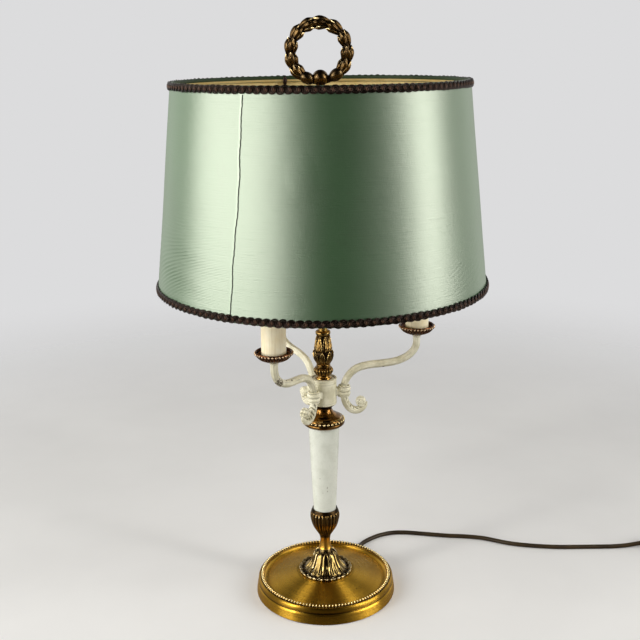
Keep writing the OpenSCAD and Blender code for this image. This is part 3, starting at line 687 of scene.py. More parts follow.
def braid_mat():
    """Rayon gimp: near-black brown thread with single strands and a bronze-tinted gloss; where cav is negative it is
    painted with a bronze highlight, where positive it is painted black as shade.
    """
    m = Mat("braid")
    n1 = m.noise(900, 3, 0.6)
    n2 = m.noise(5200, 2, 0.6)
    c = m.mix(m.range(n1, 0.35, 0.7), (0.0065, 0.0045, 0.0035), (0.0028, 0.002, 0.0016))
    # painted bronze highlight where cav is negative, painted black shade where cav is positive
    c = m.mix(m.range(m.attr(), -0.1, -0.8, 0.0, 1.0), c, (0.066, 0.031, 0.016))
    c = m.mix(m.math("MULTIPLY", m.attr(), 0.95, clamp=True), c, (0.001, 0.0008, 0.0008))
    m.set(color=c, rough=m.range(n2, 0.3, 0.7, 0.22, 0.36), sheen=0.0, spec=0.42, spec_tint=(0.72, 0.46, 0.36, 1.0), normal=m.bump(n2, 0.0002, 0.6))
    return m.m


M["braid"] = braid_mat()
M["thread"] = plain("thread", (0.03, 0.035, 0.025), 0.7, vary=0.4, scale=1500)

for n in ("base_weight",):
    NODES[n].data.materials.clear(), NODES[n].data.materials.append(M["cast_iron"])
for n, k in {
    "base_felt": "felt", "base_washer": "zinc_steel", "base_nut": "zinc_steel", "inner_cable": "lead_pvc", "tie_tube": "zinc_steel",
    "hub_nut": "zinc_steel", "arm_screws": "zinc_steel", "arm_nipples": "zinc_steel", "lampholder_right": "bakelite",
    "lampholder_back_left": "bakelite", "lampholder_front_left": "bakelite", "bulb_caps": "nickel", "switch_screws": "zinc_steel",
    "cord_bushing": "bakelite", "shade_bottom_ring": "frame_wire", "shade_top_ring": "frame_wire",
}.items():
    NODES[n].data.materials.clear()
    NODES[n].data.materials.append(M[k])

# ---------------------------------------------------------------- mains lead

EXIT = (80.5 + 20.5 * math.cos(rad(8.5)))
TIP = np.array([EXIT * math.cos(rad(64)), EXIT * math.sin(rad(64)), 6.5 - 20.5 * math.sin(rad(8.5))])
CR = 2.65
run = [TIP, (48, 98, 2.9), (53, 104, 2.7), (60, 110.5, 2.7), (68, 116.5, 2.7), (77, 121, 2.7), (86, 124, 2.7), (95, 125, 2.7),
       (105, 124.5, 2.7), (117, 122.5, 2.7), (130, 120, 2.7), (145, 117, 2.7), (160, 114.5, 2.7), (175, 113, 2.7), (190, 110.5, 2.7),
       (203, 107, 2.7), (214, 102, 2.7), (225, 96.5, 2.7), (238, 91.5, 2.7), (252, 88, 2.7), (268, 85, 2.7), (284, 83, 2.7),
       (300, 82, 2.7), (316, 82, 2.7), (332, 82, 2.7), (348, 82, 2.7), (364, 82, 3), (378, 82, 4.2), (392, 82, 6.6), (402, 82, 8.4),
       (412, 82, 9), (430, 82, 9), (445, 82, 9), (460, 82, 9), (478, 82, 9), (485, 82, 8.8), (491, 82, 7.6), (499, 82, 5), (508, 82, 3.4),
       (517, 82, 2.75), (526, 82, 2.7)]
CX, CY = 535.0, 41.6
coil = []
for k in range(0, 3 * 18 + 10):  # three and a half turns inwards on the floor
    d = k * 20.0
    r = 40.4 - 5.4 * d / 360
    a = rad(90 - d)
    coil.append((CX + r * math.cos(a), CY + r * math.sin(a), 2.7))
for k in range(1, 50):  # two and three quarter turns outwards on top of them
    d = k * 20.2041
    if d > 990.01:
        break
    r = 21.5 if d < 60 else 21.5 + 15.5 * (d - 60) / 930
    z = 2.7 + 5.4 * float(smooth(d / 60))
    a = rad(270 - d)
    coil.append((CX + r * math.cos(a), CY + r * math.sin(a), z))
tail = [(572, 30, 8.1), (572, 20, 8.05), (572, 10, 7.7), (572, 0, 7.2), (572, -11, 6.85), (572, -22, 6.75)]
route = [np.array(p, float) for p in run + coil + tail]
line = catmull(route, 2.6)
keep = [0]
for i in range(1, len(line)):
    if np.linalg.norm(line[i] - line[keep[-1]]) > 1.4:
        keep.append(i)
keep[-1] = len(line) - 1
line = line[keep]
b = Build()
tube(b, line, CR, n=14)
cord = b.make("mains_lead", M["lead_pvc"])
finish_piece(cord, "lamp_body", ("cord_run", "cord_link", "cord_coil", "cord_tail"))

# ---------------------------------------------------------------- foot

b = Build()
shell = fillet(
    [(5.1, 24), (31, 24), (33.5, 23.7), (40, 22.1), (50, 19.6), (60, 17.15), (66.2, 15.5), (68.6, 15.3), (70.6, 16.1), (71.7, 17.2),
     (72.1, 18.25), (75.4, 18.2), (75.5, 19.2), (76.6, 18.7), (77.7, 17.2), (78, 15.2), (77.6, 13.5), (76.7, 12.6), (77.7, 11.9),
     (78.7, 10.4), (79.8, 3), (80, 1), (79.8, 0.4), (78.8, 0.4), (78.6, 3), (77.5, 10), (76.3, 11.4), (75.4, 12.6), (76.4, 13.8),
     (76.7, 15), (76.2, 16.4), (75.4, 17), (73.2, 17), (72.8, 16.2), (71.6, 14.8), (69.6, 14.2), (67.5, 14.5), (60, 16.2),
     (50, 18.5), (40, 20.9), (33, 22.5), (31, 22.8), (5.1, 22.8)],
    [0.3, 0.8, 6, 20, 40, 30, 6, 3.2, 2.4, 1.6, 0.5, 0.4, 0.5, 0.9, 1.6, 1.8, 1.2, 0.35, 1.2, 6, 2, 0.6, 0.5] + [0.8] * 20, seg=6)
# the front sector of the dish is painted darker: painted shade standing in for the dark reflection there
darkening = lambda th: 0.42 * np.exp(-(((((th + math.pi / 2) + math.pi) % TAU - math.pi) / 0.40) ** 4))  # the front of the dish is duller
# grime in the grooves and in the cove by the bead ring, plus the painted shade on the dish's front
dish_grime_and_shade = lambda th, z, r: np.where((z < 13.4) & (z > 11.8) & (r > 76.2), 1.0, 0) + np.where((r > 71.4) & (r < 75.7) & (z > 15.4), 1.0, 0) + np.where((r > 75.7) & (z > 13.4), 0.34, 0) + darkening(th) * np.where((r > 33) & (r < 70) & (z > 14.8), 1.0, 0)
turned(b, shell, n=288, step=2.4, cav=dish_grime_and_shade)
finish_piece(b.make("foot_shell", M["brass_satin"], sharp=50), "lamp_body", ("base_shell",))

b = Build()
turned(b, fillet([(71.9, 17.2), (72.3, 17.7), (75.2, 18.2), (75.2, 18.45), (72.9, 18.45), (72.0, 18.0)], 0.12), n=280, cav=lambda th, z, r: 1.0 + 0 * th)
for k in range(128):  # upright barrel-shaped beads
    a = TAU * k / 128
    s = 1 + 0.05 * (hash01(k, 3) - 0.5)
    ball(b, (73.2 * math.cos(a), 73.2 * math.sin(a), 19.0), 1.0, 12, 9, squash=(1.7 * s, 0.92 * s, 2.7), M=rot("Z", math.degrees(a)), a=-0.4)
finish_piece(b.make("bead_ring", M["brass_polished"], sharp=60), "lamp_body", ("base_bead_ring",))

# leaf collar: eleven round-headed petals on a bell, each split by a groove, over a flared foot of scrolled lobes
LEAVES = 11
PH_LEAF = 0.698
leaf_prof = catmull([(30.2, 24.6), (30.5, 25.3), (30.2, 26.1), (29.2, 26.5), (27.5, 26.5), (25.0, 27.1), (22.3, 28.5), (20.0, 30.4), (18.0, 32.9), (16.3, 35.8),
                     (14.9, 38.9), (13.9, 41.6), (13.1, 43.8), (12.1, 45.6), (10.9, 46.9), (9.5, 47.9), (8.2, 48.8), (7.3, 50.0), (6.95, 51.4)], 0.36)
leaf_out = np.vstack([[(5.1, 24.05), (29.4, 24.05), (29.9, 24.25)], leaf_prof, [(6.4, 51.5), (5.1, 51.5)]])
i0, i1 = 3, 3 + len(leaf_prof)
arc = np.concatenate([[0], np.cumsum(np.linalg.norm(np.diff(leaf_out, axis=0), axis=1))])
sm_ = np.clip(arc - arc[i0], 0, arc[i1 - 1] - arc[i0])  # millimetres up from the rim
live = ((np.arange(len(leaf_out)) >= i0 - 2) & (np.arange(len(leaf_out)) < i1)).astype(float)


def leaf_parts(th, z, r):
    m_ = sm_[:, None] + 0 * th
    v = np.abs((th * LEAVES / TAU + PH_LEAF + 0.5) % 1.0 - 0.5) * 2  # 0 on a petal's middle, 1 between two
    w = np.sqrt(np.clip(1 - (np.clip(z - 41.0, 0, 9) / 7.3) ** 2, 0.0, 1))
    q = np.clip(v / np.maximum(w, 0.03), 0, 1.6)
    dome = np.clip(1 - q ** 4, 0, 1) * (w > 0.04)
    up = smooth((z - 26.7) / 3.2)
    split = smooth((40.5 - z) / 7)
    cleft = split * np.exp(-((v / (0.16 + 0.10 * split)) ** 2)) * smooth((m_ - 2.5) / 2)
    gap = smooth((q - 0.80) / 0.20) * smooth((49.3 - z) / 1.2) * smooth((m_ - 3.0) / 2)
    hole = np.exp(-(((m_ - 6.2) / 2.0) ** 2)) * np.exp(-((((v - 0.46) * r * 0.2856) / 2.2) ** 2))
    return m_, v, q, dome, up, cleft, gap, split, hole


def leaf_height(th, z, r):
    m_, v, q, dome, up, cleft, gap, split, hole = leaf_parts(th, z, r)
    crest = np.exp(-(((v - 0.48) / 0.24) ** 2)) * split * smooth((m_ - 2.0) / 3)
    body = up * (0.8 * dome ** 0.75 * (1 - 0.4 * split) - 0.3 * cleft - 0.7 * gap) + 0.3 * crest - (1 - up) * (0.4 * cleft + 0.6 * gap)
    curl = 1.1 * np.exp(-(((m_ - 2.5) / 1.2) ** 2)) * (1 - 0.55 * v ** 4)
    scallop = -(2.9 * v ** 6 + 0.8 * np.exp(-((v / 0.13) ** 2))) * smooth((5.2 - m_) / 2.6)
    bead = 1.9 * np.exp(-(((1 - v) / 0.13) ** 2)) * np.exp(-(((m_ - 4.4) / 1.2) ** 2))
    cusp = 0.8 * np.exp(-((v / 0.10) ** 2)) * np.exp(-(((m_ - 5.0) / 1.6) ** 2))
    return (body + curl - 1.9 * hole + scallop + bead + cusp) * live[:, None]


def leaf_cav(th, z, r):
    m_, v, q, dome, up, cleft, gap, split, hole = leaf_parts(th, z, r)
    c = 0.3 * cleft + 1.1 * gap + 1.3 * hole + 0.9 * smooth((z - 48.2) / 0.6) * smooth((50.6 - z) / 0.8)
    c = c + 0.12 * bump(v, 0.5) * split * (1 - bump(v - 0.48, 0.2)) + 0.28 * smooth((30.5 - z) / 2.5) * smooth((m_ - 2.6) / 1.2)
    bead = np.exp(-(((1 - v) / 0.11) ** 2)) * np.exp(-(((m_ - 4.4) / 1.1) ** 2))
    # the rolled rim and the beads are lightened: rubbed brass and a painted highlight
    rub_and_painted_highlight = 0.22 * bump(m_ - 2.3, 1.0) * (1 - v ** 2) + 1.5 * bead
    return np.clip(c - rub_and_painted_highlight, -0.8, 1) * live[:, None] + (sm_[:, None] < 0.001) * 0.9


b = Build()
turned(b, leaf_out, n=LEAVES * 60, disp=leaf_height, cav=leaf_cav)
finish_piece(b.make("leaf_collar", M["brass_leaf"]), "lamp_body", ("leaf_foot",))

b = Build()
turned(b, fillet([(5.1, 51.5), (7.5, 51.5), (7.2, 52.2), (6.65, 53.6), (6.1, 56), (5.75, 58.8), (5.6, 61.5), (5.75, 64.0), (5.9, 65.2),
                  (6.1, 66.0), (6.1, 66.5), (5.1, 66.5)], [0.2, 0.2, 0.8, 3, 4, 4, 4, 1, 0.5, 0.2, 0.1, 0.1], seg=5),
       n=96, step=0.8, cav=lambda th, z, r: 0.9 * smooth((z - 64.6) / 1.4) + 0.8 * smooth((52.2 - z) / 0.5) + 0 * th)
finish_piece(b.make("foot_neck", M["brass_neck"], sharp=45), "lamp_body", ("foot_spool",))

# fluted cup: twenty-two round-headed gadroons under a smooth lip
FL = 22
cup_prof = catmull([(6.1, 66.6), (6.35, 67.7), (7.3, 69.8), (9.6, 73.8), (12.6, 79), (14.8, 84.5), (16.0, 90), (16.2, 94), (15.75, 97.0), (15.3, 98.6), (14.85, 100.2), (14.35, 101.7)], 0.45)
cup_out = np.vstack([[(5.1, 66.5)], cup_prof, [(14.15, 102.25), (13.85, 102.45), (13.55, 102.2), (13.3, 100.8), (13.15, 96), (13.15, 92.1), (5.1, 92.1)]])


def gad(th, z, r):
    u = np.abs((th * FL / TAU + 0.5) % 1.0 - 0.5) * 2
    f = smooth((z - 68.6) / 4) * smooth((98.3 - z + 1.2 * (1 - u)) / 1.6)
    return np.where(r > 6.2, f * (0.45 - 1.15 * u ** 2.6) * np.clip(r / 16, 0.35, 1), 0)


def gad_cav(th, z, r):
    u = np.abs((th * FL / TAU + 0.5) % 1.0 - 0.5) * 2
    f = smooth((z - 68.0) / 3) * smooth((98.6 - z) / 1.5)
    return np.clip(f * smooth((u - 0.45) / 0.45) + 0.95 * smooth((z - 97.9) / 0.9) + 0.9 * smooth((70.5 - z) / 3) - 0.8 * bump(z - 96.2, 1.6) * smooth((0.4 - u) / 0.3), -0.8, 1)


b = Build()
turned(b, cup_out, n=FL * 14, disp=gad, cav=gad_cav)
finish_piece(b.make("fluted_cup_cast", M["brass_dark"], sharp=50), "lamp_body", ("fluted_cup",))

# painted column, with a few flakes gone
def column_chips(th, z, r):
    c = 0 * th
    for k, (psi, zc, w, h) in enumerate(((-20, 144, 0.75, 0.55), (12, 133, 0.7, 0.8), (-9.5, 126.5, 0.75, 0.5), (13, 128, 0.6, 0.6), (150, 118, 0.9, 0.6), (96, 171, 0.7, 0.9), (-112, 105, 0.8, 0.6))):
        d = ((th - rad(psi - 90) + math.pi) % TAU - math.pi) * 14.0
        c = np.maximum(c, np.exp(-(((d / w) ** 2 + ((z - zc) / h) ** 2) ** 2)))
    return -c


b = Build()
turned(b, fillet([(5.1, 92.1), (12.4, 92.1), (12.75, 101), (14.0, 129), (15.35, 160), (16.5, 186), (17.1, 200.5), (17.3, 204), (16.2, 204),
                  (11.3, 94), (5.1, 94)], [0.1, 0.4, 5, 30, 30, 30, 3, 0.1, 0.1, 0.1, 0.1]), n=288, step=0.9, cav=column_chips)
finish_piece(b.make("column_tube", M["column_paint"], sharp=40), "lamp_body", ("column",))

# beaded cap
b = Build()
# the top of the cap, under the hub (above z 224.3), is painted dark: a painted shadow of the hub
turned(b, fillet([(5.1, 200), (15.9, 200), (15.9, 204), (18.2, 204), (20.6, 204.4), (22.4, 205.8), (23.2, 207.4), (23.0, 208.8), (21.9, 209.4),
                  (21.7, 212), (21.3, 213.1), (20.2, 213.3), (18, 214.9), (14, 216.9), (11, 219.3), (9.4, 221.8), (8.8, 223.4), (8.95, 224.6),
                  (9.8, 225.9), (11.6, 227.4), (12.9, 228.4), (13.0, 228.8), (12.6, 229), (5.1, 229)],
                 [0.1, 0.1, 0.1, 0.3, 1.2, 1.4, 1.0, 0.7, 0.3, 0.3, 0.5, 0.5, 3, 5, 3, 2, 2, 1, 1.2, 1, 0.5, 0.2, 0.1, 0.1], seg=5),
       n=160, step=1.0, cav=lambda th, z, r: np.clip(0.95 * (z < 204.8) + 0.95 * (np.abs(z - 210.7) < 1.9) + smooth((z - 224.3) / 1.2) - 0.5 * bump(z - 213.6, 0.9), -0.8, 1) + 0 * th)
for k in range(30):
    a = TAU * (k + 0.5) / 30
    ball(b, (21.9 * math.cos(a), 21.9 * math.sin(a), 210.75), 1.55, 14, 10, a=-0.7)
finish_piece(b.make("column_cap_turned", M["brass_cap"], sharp=50), "lamp_body", ("column_cap",))

# ---------------------------------------------------------------- hub and lid

b = Build()
# the drum's underside (below z 229.6) is painted darker: painted shade
turned(b, fillet([(5.1, 229), (13.6, 229), (14.0, 229.3), (14.3, 230.2), (14.3, 231.4), (14.12, 231.8), (14.3, 232.2), (14.3, 253.6), (14.12, 254.1),
                  (14.3, 254.6), (14.3, 256.2), (13.9, 257), (12.5, 257), (12.5, 232), (5.1, 232)], 0.35, seg=3), n=128, step=2.2,
       cav=lambda th, z, r: 0.5 * bump(z - 231.8, 0.5) + 0.5 * bump(z - 254.1, 0.5) + np.where(z < 229.6, 0.6, 0))
finish_piece(b.make("hub_drum", M["ivory_paint"], sharp=55), "lamp_body", ("arm_hub",))

b = Build()
turned(b, fillet([(5.1, 255.5), (12.4, 255.5), (12.4, 257), (14.5, 257), (14.95, 257.9), (14.6, 258.9), (13.7, 259.2), (12.9, 258.9), (12.2, 258.2),
                  (11.2, 258.0), (10.7, 258.4), (9.9, 258.5), (9.2, 258.2), (5.1, 258.2)], 0.45, seg=4), n=112, step=1.2,
       cav=lambda th, z, r: 0.9 * bump(r - 12.2, 0.7) * (z > 257) + 0.7 * bump(r - 8.6, 0.8) * (z > 257))
finish_piece(b.make("hub_lid_turned", M["ivory_paint"], sharp=55), "lamp_body", ("hub_lid",))

# ---------------------------------------------------------------- knop and baluster

b = Build()
knop = fillet([(5.1, 258.2), (8.7, 258.2), (9.0, 259.0), (8.6, 260.1), (7.6, 260.8), (7.0, 261.9), (7.3, 262.7), (8.1, 263.1), (9.5, 264.6), (10.6, 267.0),
               (10.4, 269.4), (8.9, 271.2), (7.7, 271.8), (7.35, 272.2), (7.9, 272.6), (8.05, 273.1), (7.5, 273.55), (7.3, 273.8), (7.6, 274.2),
               (7.5, 274.75), (6.9, 275), (5.1, 275)],
              [0.1, 0.4, 0.5, 0.6, 0.8, 0.5, 0.3, 0.5, 1.5, 1.8, 1.6, 0.8, 0.3, 0.2, 0.3, 0.3, 0.2, 0.15, 0.25, 0.25, 0.2, 0.1], seg=5)


def knop_u(th):
    return np.abs((th * 16 / TAU + 0.5) % 1.0 - 0.5) * 2


turned(b, knop, n=224, step=0.5,
       disp=lambda th, z, r: smooth((z - 262.9) / 1.4) * smooth((271.9 - z) / 1.4) * (0.25 - 0.95 * knop_u(th) ** 2.2) * (r > 6.5),
       cav=lambda th, z, r: np.clip(smooth((z - 262.4) / 1) * smooth((272.4 - z) / 1) * smooth((knop_u(th) - 0.45) / 0.4) + bump(z - 272.2, 0.45) + bump(z - 273.75, 0.35) + bump(z - 262, 0.8), 0, 1))
finish_piece(b.make("knop_chased", M["brass_antique"], sharp=55), "lamp_body", ("knop",))

bal = np.vstack([[(5.1, 275)], catmull([(6.9, 275.1), (7.6, 276.6), (9.4, 279.6), (10.6, 283.4), (10.85, 286.4), (10.75, 288.6), (10.3, 290.3)], 0.4),
                 catmull([(9.75, 291.0), (9.75, 291.8), (9.55, 295), (8.6, 300), (7.7, 304.5), (7.15, 307.4)], 0.4),
                 fillet([(7.05, 308.2), (7.7, 308.9), (8.3, 310.3), (8.2, 311.8), (7.5, 312.9), (6.4, 313.4), (5.1, 313.4)], [0.2, 0.5, 0.9, 0.8, 0.6, 0.3, 0.1], seg=5)])


def bal_rows(th, z):
    out = []
    for z0, z1, ph, tipw in ((275.6, 290.6, 0.13, 1.0), (291.4, 307.6, 0.63, 1.0)):
        t = np.clip((z - z0) / (z1 - z0), 0, 1)
        u = np.abs((th * 8 / TAU + ph + 0.5) % 1.0 - 0.5)
        w = 0.49 * np.clip(1 - t ** 2.2, 0, 1) ** 0.7
        live_ = ((z > z0 - 0.2) & (z < z1 + 0.2)).astype(float)
        ins = smooth((w - u) / 0.06)
        edge = bump(u - (w - 0.06), 0.07)
        rib = bump(u, 0.035)
        vein = np.maximum(0, np.sin((t * 6 - u * 7) * TAU / 2)) ** 2
        out.append((live_, ins, edge, rib, vein))
    return out


def bal_disp(th, z, r):
    h = 0 * th
    for k_, (lv, ins, edge, rib, vein) in enumerate(bal_rows(th, z)):
        u_ = np.abs((th * 8 / TAU + (0.13, 0.63)[k_] + 0.5) % 1.0 - 0.5)
        h = h + lv * (-0.95 * (1 - ins) + 0.45 * np.clip(1 - (u_ / 0.42) ** 2, 0, 1) * ins + 0.25 * edge * ins + 0.35 * rib - 0.16 * vein * ins * (1 - edge))
    return h * (r > 6.5)


def bal_cav(th, z, r):
    c = 0 * th
    for lv, ins, edge, rib, vein in bal_rows(th, z):
        c = c + lv * np.clip(1.2 * (1 - ins) + 0.45 * vein * ins * (1 - edge) - 0.45 * rib - 0.55 * edge * ins, -0.55, 1)
    return np.clip(c + 1.0 * bump(z - 290.8, 0.7) + bump(z - 308, 0.6) - 0.5 * bump(z - 310.8, 1.0), -0.8, 1)


b = Build()
turned(b, bal, n=270, disp=bal_disp, cav=bal_cav)
finish_piece(b.make("baluster_chased", M["brass_antique"], sharp=60), "lamp_body", ("baluster",))

b = Build()
turned(b, fillet([(3.05, 552), (3.05, 568.5), (4.6, 568.5), (5, 568.1), (5, 266), (3.05, 266), (3.05, 267), (3.05, 552)][1:-1], 0.15), n=48, step=12)
finish_piece(b.make("rod", M["brass_rod"], sharp=50), "lamp_body", ("shade_rod",))

# ---------------------------------------------------------------- arms and candles

REACH = 102.0
ARMS = {"right": 1.0, "back_left": 121.0, "front_left": 241.0}
ARM = np.array([  # (distance from the axis, height, radius) from the leaf tip to the candle
    (47.9, 230.3, 0.35), (47.4, 228.6, 1.1), (46.2, 226.2, 2.2), (43.2, 223.2, 3.35), (39.5, 221.0, 3.9), (35.5, 220.35, 4.15), (31.5, 221.3, 4.3),
    (28.0, 224.0, 4.3), (25.3, 228.0, 4.2), (23.6, 232.2, 4.05), (22.8, 237.0, 3.95), (22.5, 242.0, 3.9), (22.6, 247.0, 3.9), (23.2, 251.4, 3.9),
    (24.4, 255.4, 3.9), (26.7, 259.6, 3.95), (29.7, 263.6, 4.0), (33.6, 267.2, 4.05), (38.2, 269.8, 4.05), (42.9, 271.4, 4.05), (49.0, 272.8, 4.0),
    (55.2, 273.6, 4.0), (62, 274.2, 4.0), (68.5, 274.9, 4.0), (77, 276.2, 3.95), (85.6, 278.9, 3.95), (93.0, 283.0, 3.95), (98.4, 288.4, 3.9),
    (101.3, 294.0, 3.85), (102.0, 299.0, 3.8), (102.0, 303.4, 3.8), (102.0, 306.9, 3.8)])


def arm_piece(name, az):
    b = Build()
    pts = catmull(ARM, 0.55)
    keep_ = [0]
    for i in range(1, len(pts)):
        st = 0.42 if pts[i, 1] < 238 else 1.1
        if np.linalg.norm(pts[i, :2] - pts[keep_[-1], :2]) > st:
            keep_.append(i)
    keep_[-1] = len(pts) - 1
    pts = pts[keep_]
    path = np.stack([pts[:, 0], 0 * pts[:, 0], pts[:, 1]], -1)
    ln = np.concatenate([[0], np.cumsum(np.linalg.norm(np.diff(path, axis=0), axis=1))])
    i_col = int(np.argmin(np.abs(pts[:, 1] - 237.4) + (pts[:, 0] > 30) * 99))
    s_scroll = ln[i_col] - ln  # length from the collar towards the leaf tip
    t, s, u = frames(path, (0, 1, 0))
    n = 48
    ph = np.arange(n) * TAU / n
    PH = ph[None, :] + 0 * ln[:, None]
    S = s_scroll[:, None] + 0 * PH
    R = pts[:, 2:3] + 0 * PH
    inner = np.abs((PH + math.pi + math.pi) % TAU - math.pi)  # angle from the concave side
    inner = np.abs(((PH - math.pi + math.pi) % TAU) - math.pi)
    # section: softly eight-sided on the arm, round on the scroll
    k8 = math.pi / 4
    octo = math.cos(k8 / 2) / np.cos((PH + k8 / 2) % k8 - k8 / 2)
    scroll = smooth(S / 3.0)
    sect = lerp(octo / octo.mean(), 1.0, scroll)
    # scroll: a smooth rim on each side of a sunk leaf on the concave face
    leafy = scroll * smooth((1.25 - inner) / 0.14) * smooth((ln[i_col] - 6.0 - S) / 3.0)
    rim = scroll * bump(inner - 1.42, 0.26) * smooth((ln[i_col] - 1.0 - S) / 3.0)
    side = np.where(PH < math.pi, 0.0, 0.5)
    v = (S / 5.6 - inner * 0.75 + 0.12 * np.sin(S * 0.9) + side * 0.0) % 1.0
    lobe = np.sin(math.pi * np.clip(v / 0.82, 0, 1)) ** 0.7
    slit = smooth((v - 0.74) / 0.08) * smooth((1.0 - v) / 0.08)
    midrib = bump(inner, 0.2)
    eye = np.exp(-(((v - 0.86) / 0.10) ** 2)) * np.exp(-(((inner - 0.72) / 0.22) ** 2))
    h = (1.0 if name == "front_left" else 0.6) * leafy * (-0.55 + 1.05 * lobe * (1 - midrib) + 0.8 * midrib - 0.6 * slit * (1 - midrib) - 0.7 * eye) + 0.5 * rim
    # a few long brush-like grooves in the scroll's back
    h = h + scroll * 0.09 * np.sin(PH * 14) * smooth((inner - 1.9) / 0.3)
    RR = R * sect + h * np.clip(R / 3.5, 0.1, 1)
    P = path[:, None, :] + RR[..., None] * (np.cos(PH)[..., None] * s[:, None, :] + np.sin(PH)[..., None] * u[:, None, :])
    edge = np.abs(((PH + k8 / 2) % k8) - k8 / 2) / (k8 / 2)
    deep = 1.0 if name == "front_left" else 0.45
    cav = 0.8 * deep * leafy * np.clip(1.1 * slit + 0.9 * (1 - lobe) * (v < 0.82) * 0.6, 0, 1) * (1 - 0.6 * midrib) + 1.2 * leafy * eye + scroll * bump(inner - 1.22, 0.12) * 0.55 * (leafy > 0.05)
    near = np.clip(bump(S + 0.6, 1.6) + bump(S + 13.6, 1.6), 0, 1) * 0.6
    # the underside of the arm is painted darker: painted shade
    painted_under_shade = 0.22 * smooth((np.cos(PH - math.pi) - 0.72) / 0.2) * (1 - scroll)
    # dark lines along the facet edges are painted: painted edge shading
    lines = (0.7 if name == "front_left" else 0.32) * smooth((edge - 0.74) / 0.2) * (1 - scroll) * np.clip(0.6 + 0.7 * np.sin(ln[:, None] * 0.21 + PH * 3 + az), 0, 1)
    cav = np.clip(cav + near + painted_under_shade + lines, 0, 1)
    for cx, cy, cz, cr_, amt in {"front_left": ((95.5, 0.5, 283.2, 5.2, 1.0), (91.0, -2.0, 279.4, 3.8, 1.0), (98.5, 2.0, 287.0, 3.0, 0.8), (72, 2.5, 278.6, 1.5, 0.9), (82, 1.5, 280.6, 1.4, 0.9), (31.5, 0, 261.5, 1.6, 0.7))}.get(
            name, ((94.0, 2.5, 281.0, 3.2, 0.8), (66, -2.0, 271.0, 1.6, 0.8), (27.5, 3.0, 258.0, 1.5, 0.7))):
        near_ = np.exp(-((np.linalg.norm(P - np.array([cx, cy, cz]), axis=-1) / cr_) ** 4))
        cav = np.where(near_ > 0.2, -amt * near_, cav)
    idx = b.grid(P, cu=True, flip=False, a=cav)
    b.cap(idx[0], path[0])
    b.cap(idx[-1], path[-1], flip=True)
    # volute: a little drum with a ringed button on each side, ribbed round its edge
    drum = fillet([(0.0, 5.15), (1.7, 5.0), (2.5, 4.55), (2.9, 3.95), (3.3, 3.95), (3.7, 4.4), (4.6, 4.2), (5.25, 3.3), (5.5, 1.8), (5.5, -1.8),
                   (5.25, -3.3), (4.6, -4.2), (3.7, -4.4), (3.3, -3.95), (2.9, -3.95), (2.5, -4.55), (1.7, -5.0), (0.0, -5.15)],
                  [0, 1, .5, .3, .3, .3, .8, .8, 1, 1, .8, .8, .3, .3, .3, .5, 1, 0], seg=4, closed=False)
    drum[:, 0] = np.maximum(drum[:, 0], 0.02)
    s0 = len(b.v)
    ribs = lambda th, z, r: (-0.75 * np.abs(np.sin(th * 4.5)) ** 5 + 0.25 * np.cos(z * 1.9) - 0.5 * np.exp(-((np.abs(z) - 2.1) / 0.7) ** 2) * np.abs(np.sin(th * 4.5 + 0.5)) ** 3) * smooth((r - 4.2) / 0.8) * (np.abs(z) < 3.9) * (0.8 if name == "front_left" else 0.22)
    dots = lambda th, z, r: (0.7 if name == "front_left" else 0.3) * np.clip(bump(np.abs(z) - 3.95, 0.35) * (r < 3.9) * 0.8 + (np.abs(np.sin(th * 4.5)) ** 6 + 0.9 * np.exp(-((np.abs(z) - 2.1) / 0.6) ** 2) * np.abs(np.sin(th * 4.5 + 0.5)) ** 4) * (r > 4.4) * 0.9, 0, 1)
    idx = turned(b, drum, n=90, step=0.5, closed=False, disp=ribs, cav=dots)
    b.cap(idx[0], (0, 0, 5.15), flip=True)
    b.cap(idx[-1], (0, 0, -5.15))
    b.place(s0, shift(41.1, 0, 230.7) @ rot("X", 90))
    # banded collar round the arm
    s0 = len(b.v)
    rings = [(0.0, 0.0)]
    col = [(4.6, 236.9), (5.9, 237.0), (6.3, 237.6), (6.2, 238.3), (5.7, 238.6), (6.15, 239.0), (6.8, 240.0), (7.0, 241.2), (6.8, 242.4), (6.15, 243.2),
           (5.75, 243.5), (6.2, 243.8), (6.85, 244.8), (7.0, 246.0), (6.8, 247.2), (6.1, 248.2), (5.7, 248.5), (6.2, 248.9), (6.3, 249.5), (5.9, 249.9), (4.6, 250.0)]
    turned(b, fillet(col, 0.45, seg=3), n=56, step=1.0, cav=lambda th, z, r: np.clip(bump(z - 238.6, 0.5) + bump(z - 243.5, 0.6) + bump(z - 248.5, 0.5), 0, 1) * (r > 5))
    blk = b.v[s0]
    blk[:, 0] = blk[:, 0] * 1.07 + 22.45 + 0.05 * (blk[:, 2] - 243.5)
